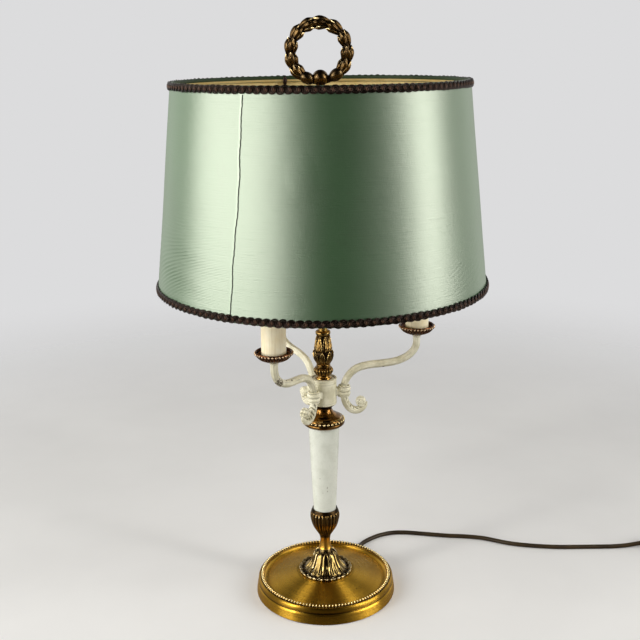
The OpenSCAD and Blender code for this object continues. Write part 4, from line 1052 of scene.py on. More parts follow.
    # saddle from the collar to the hub: flared, with two horns at the drum
    rows = []
    for x, hh, hw, e in ((12.9, 5.9, 6.7, 3.4), (14.3, 5.5, 6.3, 3.2), (15.0, 4.9, 5.8, 3.0), (15.9, 4.35, 5.3, 2.8), (17.0, 4.2, 5.0, 2.6), (18.4, 4.5, 5.2, 2.4), (20.4, 5.2, 5.6, 2.2)):
        q = np.arange(44) * TAU / 44
        c, d = np.cos(q), np.sin(q)
        y = hw * np.sign(c) * np.abs(c) ** (2 / e)
        z = hh * np.sign(d) * np.abs(d) ** (2 / e)
        horn = 0.6 * smooth((15.4 - x) / 1.5) * (np.abs(y) / hw) ** 3 * np.sign(z) * (np.abs(z) > hh * 0.5)
        xx = np.sqrt(np.maximum(13.9 ** 2 - y ** 2, 0)) if x < 13.5 else x + 0 * y - (y / hw) ** 2 * max(0.0, 16.5 - x) * 0.55
        rows.append(np.stack([xx, y, 243.1 + z + horn], -1))
    P = np.array(rows)
    idx = b.grid(P, cu=True, flip=True, a=np.array([0.55, 0.45, 0.15, 0, 0, 0.2, 0.7])[:, None] * np.ones((1, 44)))
    b.cap(idx[0], P[0].mean(0), flip=True)
    b.cap(idx[-1], P[-1].mean(0))
    # the seat under the drip pan
    s0 = len(b.v)
    turned(b, fillet([(2.6, 303.6), (3.9, 303.6), (4.3, 304.2), (4.1, 304.9), (4.5, 305.6), (5.2, 306.4), (5.4, 307), (2.6, 307)], 0.3, seg=3), n=40, step=0.9,
           at=(REACH, 0), cav=lambda th, z, r: 0.6 * bump(z - 304.9, 0.5))
    b.place(0, rot("Z", az))
    ob = b.make("arm_cast_" + name, M["ivory_paint"], sharp=60)
    finish_piece(ob, "lamp_body", ("arm_" + name,))


def candle_at(az):
    return REACH * math.cos(rad(az)), REACH * math.sin(rad(az))


def pan_piece(name, az):
    b = Build()
    prof = fillet([(2.6, 307), (6.4, 307), (7.4, 308.1), (8.2, 308.5), (11.3, 309.2), (15.2, 311.2), (17.6, 313.9), (18.3, 315.2), (18.9, 316.9), (18.75, 318.0),
                   (18.0, 318.4), (17.2, 317.6), (16.7, 315.4), (14, 312.6), (13.0, 311.9), (12.9, 311.2), (2.6, 311.2)],
                  [0.1, 0.5, 0.6, 1.0, 3, 3, 1, 0.6, 0.6, 0.5, 0.4, 0.6, 1.2, 1.5, 0.4, 0.2, 0.1], seg=4)
    low = lambda th, z, r: (z < 315.0) & (r > 8.4) & (z < 309.6 + (r - 8.4) * 0.62 + 0.6)
    uu = lambda th: np.abs((th * 33 / TAU + 0.5) % 1.0 - 0.5) * 2
    env = lambda z, r: smooth((r - 9.5) / 2.5) * smooth((315.2 - z) / 0.8)
    outside = lambda z, r: (z < 308.9 + 0.0) | (r > 15.3 + 0 * z) & (z < 315.4) | (z < 308.0 + (r - 7.0) * 0.42)
    turned(b, prof, n=33 * 8, step=0.8,
           disp=lambda th, z, r: np.where(outside(z, r), env(z, r) * (0.25 - 0.75 * uu(th) ** 2.2), 0),
           cav=lambda th, z, r: np.where(outside(z, r), env(z, r) * (smooth((uu(th) - 0.4) / 0.45) - 0.25 * smooth((0.3 - uu(th)) / 0.2)), 0.75 * (r > 7)) * (z < 317.6))
    for k in range(33):
        a = TAU * (k + 0.5) / 33
        ball(b, (18.75 * math.cos(a), 18.75 * math.sin(a), 316.45), 1.22, 12, 8, squash=(1, 1, 1.1), a=-0.7 if k % 3 else -0.45)
    x, y = candle_at(az)
    b.place(0, shift(x, y, 0) @ rot("Z", az))
    finish_piece(b.make("drip_pan_cast_" + name, M["brass_pan"], sharp=60), "lamp_body", ("drip_pan_" + name,))


def sleeve_piece(name, az, k):
    b = Build()
    drift = lambda th, z, r: 0.10 * np.sin(th * 2 + k) * smooth((z - 312) / 60) + 0.05 * np.sin(th * 3 + z * 0.05 + 2 * k)
    turned(b, fillet([(12.5, 311.25), (12.5, 403.6), (12.2, 404), (11.75, 403.7), (11.7, 311.25)], [0.3, 0.4, 0.25, 0.3, 0.1], seg=3), n=96, step=6,
           disp=drift, cav=lambda th, z, r: 0.9 * smooth((313.2 - z) / 2.0) + 0 * th)
    x, y = candle_at(az)
    b.place(0, shift(x, y, 0) @ rot("Z", az))
    finish_piece(b.make("candle_sleeve_" + name, M["candle_card"], sharp=40), "lamp_body", ("sleeve_" + name,))


def bulb_piece(name, az):
    b = Build()
    p = catmull([(0.02, 400.6), (4, 400.6), (6.5, 400.8), (6.8, 402), (8.4, 405), (12.5, 411), (15.8, 418), (17.3, 425), (17.35, 430), (16.4, 438),
                 (13.8, 447), (10.4, 456), (6.6, 465), (3.6, 472), (1.5, 475.8), (0.02, 477)], 1.6)
    idx = turned(b, p, n=56, closed=False)
    x, y = candle_at(az)
    b.place(0, shift(x, y, 0))
    finish_piece(b.make("candle_bulb_" + name, M["bulb_glass"]), "lamp_body", ("bulb_" + name,))


for k, (nm, az) in enumerate(ARMS.items()):
    arm_piece(nm, az)
    pan_piece(nm, az)
    sleeve_piece(nm, az, k)
    bulb_piece(nm, az)

# ---------------------------------------------------------------- shade

Z0, Z1 = 365.2, 577.4
CONE = (175 - 152.4) / (Z1 - Z0)


def cover_out(z):
    return 175 - 1.4 - (z - Z0) * CONE


def cover_in(z):
    return cover_out(z) - 0.6


def ripple_field(th, z):
    """How strongly the satin has pulled into ripples: most at the lower left of the front."""
    d = (th - rad(212) + math.pi) % TAU - math.pi
    d2 = (th - rad(330) + math.pi) % TAU - math.pi
    a = np.exp(-(((d + 0.03) / 0.34) ** 2)) * np.exp(-(((z - 396) / 34) ** 2)) + 0.12 * np.exp(-((d / 0.9) ** 2)) * np.exp(-(((z - 400) / 55) ** 2))
    c = 0.3 * np.exp(-((d2 / 0.25) ** 2)) * np.exp(-(((z - 400) / 30) ** 2))
    return np.clip(a + c, 0, 1)


def pulled(th, z):
    """The folds themselves, from -1 to 1."""
    d = (th - rad(212) + math.pi) % TAU - math.pi
    lift = z - 96 * (d + 0.15) * np.clip((450 - z) / 70, -0.15, 1) - 30 * (d + 0.1) ** 2  # the folds rise towards the seam, more so low down
    wave = np.sin(1.45 * lift + 0.9 * np.sin(d * 8 + z * 0.03) + 0.7 * np.sin(z * 0.10 + d * 3)) * (0.75 + 0.25 * np.sin(z * 0.21 + d * 9))
    return wave


def satin_relief(th, z, r):
    f = ripple_field(th, z)
    slow = 0.16 * np.sin(th * 5 + z * 0.012 + 0.6) + 0.10 * np.sin(th * 11 - z * 0.02 + 2.0) + 0.12 * np.sin(z * 0.045 + th * 3)
    fade = smooth((z - Z0) / 14) * smooth((Z1 - z) / 14)
    fold = 0.34 * f * (pulled(th, z) + 1) * smooth((z - Z0 - 6) / 5) * smooth((Z1 - z) / 14)
    return (slow * fade + fold * (r > cover_out(z) - 0.3)) * (r > 140)  # the backing and lining stay smooth


w = 3.25
outer = [(cover_out(z), z) for z in np.linspace(Z0 + 1.2, Z1 - 1.2, 226)]
top_fold = [(cover_out(Z1) - 0.35, Z1 - 0.35), (cover_out(Z1) - 1.2, Z1), (cover_in(Z1) - w + 0.6, Z1), (cover_in(Z1) - w - 0.35, Z1 - 0.4),
            (cover_in(Z1) - w - 0.6, Z1 - 1.3), (cover_in(Z1) - w - 0.72, 575.0), (cover_in(Z1) - w - 0.70, 573.4), (cover_in(Z1) - w - 0.5, 573.1), (cover_in(Z1) - w - 0.55, 571.2), (cover_in(Z1) - w - 0.35, 571.0), (cover_in(Z1) - w, 571.2),
            (cover_in(Z1) - w, Z1 - 1.1), (cover_in(Z1) - w + 0.5, Z1 - 0.6), (cover_in(Z1) - 0.5, Z1 - 0.6), (cover_in(Z1 - 1.2), Z1 - 1.2)]
inner_w = [(cover_in(z), z) for z in np.linspace(Z1 - 2, Z0 + 2, 20)]
wb = w + 0.4
low_fold = [(cover_in(Z0 + 1.1), Z0 + 1.1), (cover_in(Z0) - 0.5, Z0 + 0.6), (cover_in(Z0) - wb + 0.5, Z0 + 0.6), (cover_in(Z0) - wb, Z0 + 1.1),
            (cover_in(Z0) - wb, 370.9), (cover_in(Z0) - wb - 0.35, 371.1), (cover_in(Z0) - wb - 0.62, 370.9), (cover_in(Z0) - wb - 0.6, Z0 + 1.2),
            (cover_in(Z0) - wb - 0.3, Z0 + 0.35), (cover_in(Z0) - wb + 0.4, Z0), (cover_out(Z0) - 1.2, Z0), (cover_out(Z0) - 0.35, Z0 + 0.35)]
b = Build()
turned(b, np.array(outer + top_fold + inner_w + low_fold), n=360, disp=satin_relief, cav=lambda th, z, r: ripple_field(th, z) * (0.5 + 0.5 * pulled(th, z)) * smooth((z - Z0 - 6) / 5))
cover = b.make("shade_cover_satin", [M["shade_satin"], M["shade_lining"], M["satin_fold_painted_dark"]], sharp=60)
for f in cover.data.polygons:  # the turned-in edge carries the backing outwards
    c = f.center
    if math.hypot(c.x, c.y) * 1000 < cover_in(c.z * 1000) - 2.2 and 500 < c.z * 1000 < 573.4:
        f.material_index = 1
    elif math.hypot(c.x, c.y) * 1000 < cover_in(c.z * 1000) - 2.2:
        f.material_index = 2
finish_piece(cover, "shade", ("shade_cover",))

b = Build()
lin = [(cover_in(z) - 0.08, z) for z in np.linspace(371.5, 570.4, 30)] + [(cover_in(z) - 0.42, z) for z in np.linspace(570.4, 371.5, 30)]
turned(b, np.array(lin), n=300, disp=lambda th, z, r: satin_relief(th, z, r) * smooth((z - 371) / 10) * smooth((571 - z) / 10) * np.where(r > 0, 1, 1))
finish_piece(b.make("shade_lining_sheet", M["shade_lining"], sharp=60), "shade", ("shade_lining",))

# seam where the cover's ends lap, slightly wavy, with its stitches
b = Build()
sz = np.linspace(Z0 + 7.6, Z1 - 7.6, 220)
sa = rad(242.4) - rad(2.4) * np.clip((500 - sz) / 126, 0, 2) + (0.45 * np.sin(sz * 0.07) + 0.30 * np.sin(sz * 0.19 + 1.0) + 0.16 * np.sin(sz * 0.9)) / 163
cr = []
for z, a in zip(sz, sa):
    r = cover_out(z) + float(satin_relief(np.array(a), z, 160.0))
    cr.append([r, a, z])
cr = np.array(cr)
prof = [(-2.0, -0.25), (-1.9, 0.06), (-0.8, 0.16), (-0.1, 0.3), (0.3, 0.26), (0.5, 0.02), (0.55, -0.25)]
rows = []
for r, a, z in cr:
    wob = 1 + 0.12 * math.sin(z * 0.9)
    rows.append([((r + dy * wob) * math.cos(a + dx / 163), (r + dy * wob) * math.sin(a + dx / 163), z) for dx, dy in prof])
P = np.array(rows)
cavs = np.broadcast_to(np.array([0, 0, 0, 0, 0, 0, 0.0]), P.shape[:2])
idx = b.grid(P, cu=True, a=0.0)
b.cap(idx[0], P[0].mean(0))
b.cap(idx[-1], P[-1].mean(0), flip=True)
seam = b.make("shade_seam", M["shade_satin"], sharp=40)
finish_piece(seam, "shade", ())
b = Build()
for k in range(92):
    z = Z0 + 9 + k * 2.13
    if z > Z1 - 9:
        break
    i = int(np.argmin(np.abs(sz - z)))
    r, a, _ = cr[i]
    a2 = a + 0.62 / 163
    p = [((r + h) * math.cos(a2 + q_ / 163), (r + h) * math.sin(a2 + q_ / 163), z + dz) for h, dz, q_ in ((-0.1, -1.05, -0.3), (0.16, -0.6, -0.14), (0.24, 0.0, 0.0), (0.16, 0.6, 0.14), (-0.1, 1.05, 0.3))]
    tube(b, p, 0.52, n=6, up=(math.cos(a), math.sin(a), 0))
finish_piece(b.make("shade_seam_thread", M["thread"]), "shade", ())


def braid_piece(name, node, zc, count, phase, knot=False):
    """Gimp braid: a bundle of three cords that swings from edge to edge in round loops over a flat tape with a sunk core."""
    b = Build()
    zb, zt = zc - 4, zc + 4
    prof = [(cover_out(zb) + 0.02, zb + 2.5), (cover_out(zb) + 0.4, zb + 2.7), (cover_out(zt) + 0.4, zt - 2.7), (cover_out(zt) + 0.02, zt - 2.5)]
    # the tape under the cords is painted near-black: painted shade between the loops
    turned(b, np.array(prof), n=count * 2, cav=lambda th, z, r: 1.0 + 0 * th)
    per = 26
    m = count * per
    a = np.arange(m) * TAU / m
    q = a * count + phase
    pitch = TAU * cover_out(zc) / count
    nudge = 0.06 * np.sin(a * 17 + 1) + 0.05 * np.sin(a * 41)
    for j in (-1, 0, 1):  # three cords of the bundle, the outer one of every loop rides highest
        off = j * 1.36
        zz = 2.05 * np.sin(q) + 0.12 * np.sin(3 * q)
        xx = -0.09 * pitch * np.sin(2 * q) + 0.35 * np.sin(q)
        dz = 2.05 * np.cos(q) + 0.36 * np.cos(3 * q)
        dx = pitch / TAU - 0.18 * pitch * np.cos(2 * q) + 0.35 * np.cos(q)
        ln_ = np.hypot(dx, dz)
        x = xx + off * -dz / ln_
        z = zc + (zz + off * dx / ln_) * (1 + nudge)
        aa = a + x / cover_out(zc)
        r = cover_out(zc) - (z - zc) * CONE + 1.05 + 0.60 * np.cos(q) + (0.28 if j == 0 else 0.0)
        path = np.stack([r * np.cos(aa), r * np.sin(aa), z], -1)
        t_ = np.roll(path, -1, 0) - np.roll(path, 1, 0)
        t_ /= np.linalg.norm(t_, axis=1, keepdims=True)
        out_ = np.stack([np.cos(aa), np.sin(aa), np.full(m, CONE)], -1)
        out_ /= np.linalg.norm(out_, axis=1, keepdims=True)
        s_ = np.cross(t_, out_)
        s_ /= np.linalg.norm(s_, axis=1, keepdims=True)
        n_ = np.cross(s_, t_)
        ph = np.arange(8) * TAU / 8
        P = path[:, None, :] + np.cos(ph)[None, :, None] * s_[:, None, :] * 0.68 + np.sin(ph)[None, :, None] * n_[:, None, :] * 0.70
        # where a strand crosses the middle of the braid it is painted with a bronze highlight; the back pass and the
        # cords' sides towards the tape are painted black as shade
        mid = smooth((0.75 - np.abs(np.sin(q))) / 0.5)
        painted_under_shade = smooth((0.1 - np.cos(q)) / 0.6)  # the pass that runs back below the loops
        painted_shade_and_highlight = (np.where(j == 0, -0.8, -0.4) * mid - 0.1 * (1 - mid)) * (1 - painted_under_shade) + 1.0 * painted_under_shade
        b.grid(P, cu=True, cv=True, a=np.where(np.sin(ph)[None, :] < 0.3, 1.0, painted_shade_and_highlight[:, None]))
    if knot:  # the ends, turned in over each other at the seam
        az = rad(239.8)
        for da, dz, rr in ((-0.8, 1.5, 1.7), (0.7, 0.2, 1.9), (-0.3, -1.6, 1.65), (1.0, 2.9, 1.3)):
            rad_ = cover_out(zc + dz) + 1.35
            c = (rad_ * math.cos(az + da / 165), rad_ * math.sin(az + da / 165), zc + dz)
            ball(b, c, rr, 14, 8, squash=(0.95, 1.0, 0.85))
    ob = b.make(name, M["braid"])
    finish_piece(ob, "shade", (node,))


braid_piece("braid_top", "top_braid", Z1 - 3.5, 130, 0.6)
braid_piece("braid_bottom", "bottom_braid", Z0 + 4.1, 140, 0.2, knot=True)

# ---------------------------------------------------------------- shade carrier, thumb screw, spider

b = Build()
turned(b, fillet([(5.06, 549), (8.4, 549), (9, 549.6), (9, 551.2), (8.6, 551.6), (9, 552), (9, 560.4), (8.6, 560.8), (9, 561.2), (9, 562.6), (9.3, 563),
                  (10.7, 563), (11, 563.3), (11, 564.4), (10.7, 564.7), (5.06, 564.7)], 0.25, seg=3), n=96, step=1.5,
       cav=lambda th, z, r: 0.7 * bump(z - 551.6, 0.4) + 0.7 * bump(z - 560.8, 0.4))
s0 = len(b.v)
turned(b, fillet([(1.6, 5.0), (4.0, 5.0), (4.0, 12.6), (3.6, 13), (1.6, 13)], 0.2, seg=3), n=48, step=2)
b.place(s0, shift(0, 0, 556) @ rot("Z", 166) @ rot("Y", 90))
finish_piece(b.make("carrier_collar", M["brass_rod"], sharp=45), "shade_carrier", ("shade_carrier",))

b = Build()
idx = turned(b, fillet([(0.02, 5.3), (1.2, 5.3), (1.5, 5.7), (1.5, 15.8), (3.2, 16.0), (3.2, 17.8), (6.4, 17.8), (7, 18.3), (7, 21.7), (6.5, 22.2),
                        (5.0, 22.2), (4.6, 21.9), (0.02, 21.9)], 0.2, seg=3, closed=False), n=180, closed=False, step=None,
             disp=lambda th, z, r: -0.28 * (0.5 + 0.5 * np.sign(np.sin(th * 30))) * (r > 6.6), cav=lambda th, z, r: 0.6 * (np.sin(th * 30) > 0) * (r > 6.6))
b.cap(idx[0], (0, 0, 5.3))
b.cap(idx[-1], (0, 0, 21.9), flip=True)
b.place(0, shift(0, 0, 556) @ rot("Z", 166) @ rot("Y", 90))
finish_piece(b.make("thumb_screw_knurled", M["brass_polished"], sharp=40), "thumb_screw", ("thumb_screw",))

b = Build()
turned(b, fillet([(5.4, 565), (11.6, 565), (12, 565.4), (12, 567.1), (11.6, 567.5), (5.4, 567.5)], 0.3, seg=3), n=72, step=1.5)
for az in (106, 226, 346):
    r1 = cover_in(575.2) - 1.55
    p = [(10.2, 0, 566.2), (30, 0, 566.2), (60, 0, 566.2), (90, 0, 566.2), (120, 0, 566.2), (r1 - 5.2, 0, 566.2), (r1 - 2.2, 0, 566.5), (r1 - 0.6, 0, 567.8),
         (r1, 0, 570.0), (r1, 0, 573.7)]
    s0 = len(b.v)
    tube(b, catmull(p, 1.6), 1.4, n=14, up=(0, 1, 0))
    ball(b, (r1, 0, 573.6), 1.9, 12, 8, squash=(1, 1, 0.7))
    ball(b, (11.4, 0, 566.2), 1.75, 12, 8, squash=(1.4, 1, 0.7))
    b.place(s0, rot("Z", az))
finish_piece(b.make("spider_wire", M["frame_wire"], sharp=50), "shade", ("shade_spider",))
b = Build()
for az in (106, 226, 346):  # dark tape over each joint of wire and ring
    s0 = len(b.v)
    ball(b, (cover_in(574) - 4.9, 0, 571.6), 1.0, 24, 16, squash=(1.2, 2.4, 5.6), M=None)
    b.place(s0, rot("Z", az))
finish_piece(b.make("spider_tape", M["braid"]), "shade", ())

# ---------------------------------------------------------------- finial

b = Build()
ball(b, (0, 0, 579), 8.25, 48, 28)
turned(b, fillet([(0.8, 568.8), (6.0, 568.8), (6.4, 569.2), (6.3, 570.0), (5.2, 570.4), (4.7, 571.0), (4.9, 571.7), (4.4, 572.6), (0.8, 572.6)], 0.25, seg=3), n=64, step=1,
       cav=lambda th, z, r: 0.6 * bump(z - 571, 0.5))
turned(b, np.array([(0.4, 555), (2.6, 555), (3, 555.6), (3, 569), (0.4, 569)]), n=32, step=0.7, disp=lambda th, z, r: 0.0 * th + 0.0)
finish_piece(b.make("finial_ball_cast", M["brass_wreath"], sharp=50), "finial", ("finial_ball",))

WR, WZ = 28.3, 604.3


def torus_pt(a, psi, rho):
    """a: angle round the ring (0 = +X, 90 deg = up); psi: angle round the ring's tube (0 = outwards, -90 deg = front)."""
    rr = WR + rho * np.cos(psi)
    return np.stack([rr * np.cos(a), rho * np.sin(psi), WZ + rr * np.sin(a)], -1)


def wreath_leaf(b, a0, way, psi0, length, width, rho1, splay, seed):
    nt, nv = 21, 11
    t = np.linspace(0, 1, nt)
    half = width * 0.5 * np.where(t < 0.5, 0.62 + 0.38 * np.sin(math.pi / 2 * np.clip(t / 0.5, 0, 1)), np.clip(1 - (np.clip(t - 0.5, 0, 1) / 0.502) ** 3.0, 0.06, 1))
    v = np.linspace(-1, 1, nv)
    T, V = np.meshgrid(t, v, indexing="ij")
    H = half[:, None]
    rho = 2.9 + (rho1 - 2.9) * np.sin(np.clip(T / 0.72, 0, 1) * math.pi / 2) ** 0.9 - 1.5 * smooth((T - 0.62) / 0.38) + 0.35 * smooth((T - 0.9) / 0.1)
    full = np.clip(H / (width * 0.35), 0, 1)
    ribs = (0.75 * np.exp(-((V / 0.20) ** 2)) + 0.25 * np.exp(-(((np.abs(V) - 0.62) / 0.2) ** 2))) * full
    rt = rho + ribs - 1.3 * V ** 4 * full
    rb = rho - 1.25 - 0.5 * V ** 2
    psi_c = psi0 + splay * T * 0.6
    A = a0 + way * T * length / WR
    psi = psi_c + V * H / 5.7
    top = torus_pt(A, psi, rt)
    bot = torus_pt(A, psi, rb)[:, ::-1]
    loop = np.concatenate([top, bot], axis=1)
    cav_t = 0.75 * bump(np.abs(V) - 0.36, 0.26) + 1.0 * smooth((0.38 - T) / 0.3) - 0.55 * bump(np.abs(V) - 0.78, 0.16) * smooth((T - 0.35) / 0.2) + 0.9 * smooth((np.abs(V) - 0.9) / 0.1)
    cav_t = cav_t - (0.15 + 0.7 * hash01(seed, 2)) * smooth((T - 0.80) / 0.16) - 0.5 * bump(V, 0.16) * smooth((T - 0.3) / 0.3) * (0.2 + 0.8 * hash01(seed, 7))
    cav_ = np.concatenate([np.clip(cav_t, -0.8, 1), np.ones_like(cav_t)], axis=1)
    flip = way > 0
    idx = b.grid(loop, cu=True, a=cav_, flip=flip)
    b.cap(idx[0], loop[0].mean(0), a=1.0, flip=flip)
    b.cap(idx[-1], loop[-1].mean(0), a=-0.5, flip=not flip)


b = Build()
aa = np.arange(160) * TAU / 160
ring = np.stack([WR * np.cos(aa), 0 * aa, WZ + WR * np.sin(aa)], -1)
tube(b, ring, 3.5, n=16, up=(0, 1, 0), closed=True, a=0.95)
left = [(236, -1), (211, -1), (183, -1), (154, -1), (128, -1)]
right = [(-50, 1), (-24, 1), (8, 1), (38, 1), (66, 1)]
k = 0
for a_deg, way in left + right:
    for j, psi in enumerate((-90, -27, -153, 90, 27, 153)):
        k += 1
        s = 0.5 - hash01(k, 11)
        out = j in (1, 4)
        wreath_leaf(b, rad(a_deg + way * (2.0 if j in (0, 3) else -1.5) + s * 3), way, rad(psi) + 0.10 * s, 15.6 + 1.4 * s + (0.8 if out else 0.0), 7.2 + 0.5 * (0.5 - hash01(k, 5)),
                    (7.1 if out else 6.7) + 0.5 * s, 0.10 * (0 if j in (0, 3) else (1 if psi in (-27, 153) else -1)) * (1 if psi < 0 else 1), k)
for ang, way in ((242, -1), (305, 1)):  # the two smooth buds beside the ball
    c = torus_pt(np.array(rad(ang)), np.array(0.0), np.array(0.0))
    tdir = Vector((-math.sin(rad(ang)), 0, math.cos(rad(ang))))
    Mx = np.eye(4)
    Mx[:3, 0] = tdir
    Mx[:3, 1] = (0, 1, 0)
    Mx[:3, 2] = np.cross(Mx[:3, 0], Mx[:3, 1])
    ball(b, c + np.array([0, -0.8, 0.2]), 1.0, 32, 18, squash=(8.3, 6.3, 6.2), M=Mx, a=0.45)
b.place(0, shift(0, 0, 579) @ rot("Y", -2.4) @ shift(0, 0, -579))  # it leans a little on its stud
ob = b.make("wreath_cast", M["brass_wreath"], sharp=70)
finish_piece(ob, "finial", ("finial_wreath",))

# ---------------------------------------------------------------- lead: strain relief, switch, tie, plug


def loft(b, outline, levels, mat=0, a=0.0):
    """Levels of (z, inset) of one flat outline that turns anticlockwise, closed at both ends."""
    p = np.asarray(outline, float)
    t = np.roll(p, -1, 0) - np.roll(p, 1, 0)
    t /= np.linalg.norm(t, axis=1, keepdims=True)
    nrm = np.stack([t[:, 1], -t[:, 0]], -1)
    rows = []
    for z, ins in levels:
        q = p - nrm * ins
        rows.append(np.column_stack([q, np.full(len(q), z)]))
    P = np.array(rows)
    idx = b.grid(P, cu=True, mat=mat, a=a)
    b.cap(idx[0], P[0].mean(0), mat)
    b.cap(idx[-1], P[-1].mean(0), mat, flip=True)
    return idx


def rounded_levels(z0, z1, r, seg=5):
    out = [(z0 + r * (1 - math.cos(q)), r * (1 - math.sin(q))) for q in np.linspace(0, math.pi / 2, seg)]
    return out + [(z1 - r * (1 - math.cos(q)), r * (1 - math.sin(q))) for q in np.linspace(math.pi / 2, 0, seg)]


def stadium(hl, r, n=24):
    q = np.linspace(-math.pi / 2, math.pi / 2, n)
    return np.vstack([np.column_stack([hl + r * np.cos(q), r * np.sin(q)]), np.column_stack([-hl - r * np.cos(q), -r * np.sin(q)])])


b = Build()
s0 = len(b.v)
turned(b, fillet([(2.75, 75.6), (3.9, 75.6), (3.95, 80.1), (5.2, 80.1), (5.4, 80.5), (5.4, 81.2), (5.0, 81.6), (2.75, 81.6)], 0.25, seg=3), n=40, step=1.2)
b.place(s0, rot("Z", 64) @ shift(0, 0, 6.5) @ rot("Y", 90))
s0 = len(b.v)
rp = [(2.68, 0.3), (4.8, 0.3)]
for k in range(7):
    z = 2.2 + k * 2.5
    r = lerp(4.75, 3.45, z / 20.5)
    rp += [(r, z), (r - 0.5, z + 0.35), (r - 0.55, z + 1.0), (r - 0.1, z + 1.35)]
rp += [(3.4, 20.0), (3.2, 20.5), (2.68, 20.5)]
turned(b, np.array(rp), n=40)
b.place(s0, rot("Z", 64) @ shift(80.5, 0, 6.5) @ rot("Y", 98.5))
finish_piece(b.make("lead_bushing", M["bakelite"], sharp=35), "lamp_body", ("cord_bushing",))

SX, SY = 445.0, 82.0
b = Build()
loft(b, stadium(25, 13), rounded_levels(0.0, 8.75, 1.1))
for sx in (-1, 1):
    s0 = len(b.v)
    turned(b, fillet([(2.72, 36.2), (4.4, 36.2), (4.3, 38.6), (3.9, 39.2), (2.72, 39.2)], 0.4, seg=3), n=32, step=1)
    b.place(s0, shift(0, 0, 9) @ rot("Y", 90 * sx))
b.place(0, shift(SX, SY, 0))
finish_piece(b.make("switch_shell_lower", M["switch_plastic"], sharp=40), "lamp_body", ("switch_base",))
b = Build()
out_o = stadium(25, 13)
# the upper shell, as rings between its outline and the rocker's window
win = np.array([(11.5, 5.3), (-11.5, 5.3), (-11.5, -5.3), (11.5, -5.3)])
win = spaced(fillet(win, 1.2, seg=4), 1.2, closed=True)
nO = len(out_o)
ang_o = np.arctan2(out_o[:, 1], out_o[:, 0])
ang_w = np.arctan2(win[:, 1], win[:, 0])
order = np.argsort(ang_w)
wx = np.interp(np.unwrap(np.sort(ang_o)), ang_w[order], win[order, 0], period=TAU)
wy = np.interp(np.unwrap(np.sort(ang_o)), ang_w[order], win[order, 1], period=TAU)
oo = out_o[np.argsort(ang_o)]
t_ = np.roll(oo, -1, 0) - np.roll(oo, 1, 0)
t_ /= np.maximum(np.linalg.norm(t_, axis=1, keepdims=True), 1e-9)
nn = np.stack([t_[:, 1], -t_[:, 0]], -1)
rows = []
for z, ins in ((9.05, 0.35), (9.25, 0.05), (9.6, 0.0), (12.6, 0.05), (14.0, 0.5), (15.0, 1.3), (16.2, 2.9), (16.9, 4.6), (17.2, 6.6)):
    q = oo - nn * ins
    rows.append(np.column_stack([q, np.full(len(q), z)]))
wn = np.column_stack([wx, wy])
rows.append(np.column_stack([wn * 1.06, np.full(len(wn), 17.2)]))
rows.append(np.column_stack([wn * 1.02, np.full(len(wn), 16.95)]))
rows.append(np.column_stack([wn, np.full(len(wn), 16.4)]))
rows.append(np.column_stack([wn, np.full(len(wn), 9.05)]))
b.grid(np.array(rows), cu=True, cv=True)
b.place(0, shift(SX, SY, 0))
finish_piece(b.make("switch_shell_upper", M["switch_plastic"], sharp=40), "lamp_body", ("switch_cover",))
b = Build()
rk = fillet([(-10.5, -2.6), (10.5, -2.6), (10.5, 6.2), (5.0, 5.15), (0, 4.8), (-5.0, 5.15), (-10.5, 6.2)], [0.6, 0.6, 1.3, 4, 4, 4, 1.3], seg=5)
loft(b, rk, rounded_levels(-5.0, 5.0, 0.6, 4))
for sy in (-1, 1):
    for k in range(5):
        x = 6.2 + k * 0.85
        s0 = len(b.v)
b.place(0, rot("X", 90))
s0 = len(b.v)
turned(b, fillet([(0.05, -7.0), (1.2, -7.0), (1.2, 7.0), (0.05, 7.0)], 0.15, seg=2), n=20)
b.place(s0, rot("X", 90))
b.place(0, shift(SX, SY, 12) @ rot("Y", -7))
finish_piece(b.make("switch_rocker_moulded", M["rocker_plastic"], sharp=45), "switch_rocker", ("switch_rocker",))

# strap round the coil: a thin band with rounded corners
b = Build()
sec = spaced(fillet([(18.0, 0.25), (44.0, 0.25), (44.2, 0.6), (44.2, 10.6), (43.2, 11.8), (19.0, 11.8), (17.85, 10.6), (17.85, 0.6)], [0.3, 0.4, 2.2, 3.2, 2.6, 2.6, 2.2, 0.4], seg=6), 1.6, closed=True)
t_ = np.roll(sec, -1, 0) - np.roll(sec, 1, 0)
t_ /= np.linalg.norm(t_, axis=1, keepdims=True)
nr = np.stack([t_[:, 1], -t_[:, 0]], -1)
if area2(sec) < 0:
    nr = -nr
band = []
for off, y in ((0.0, -3.7), (0.0, 3.7), (-0.15, 4.0), (-0.45, 4.0), (-0.6, 3.7), (-0.6, -3.7), (-0.45, -4.0), (-0.15, -4.0)):
    q = sec + nr * (off + 0.25)
    band.append(np.stack([q[:, 0], np.full(len(q), y), q[:, 1]], -1))
P = np.transpose(np.array(band), (1, 0, 2))
b.grid(P, cu=True, cv=True)
b.place(0, shift(CX, CY, 0) @ rot("Z", 20))
finish_piece(b.make("coil_strap", M["switch_plastic"], sharp=40), "lamp_body", ("coil_tie",))

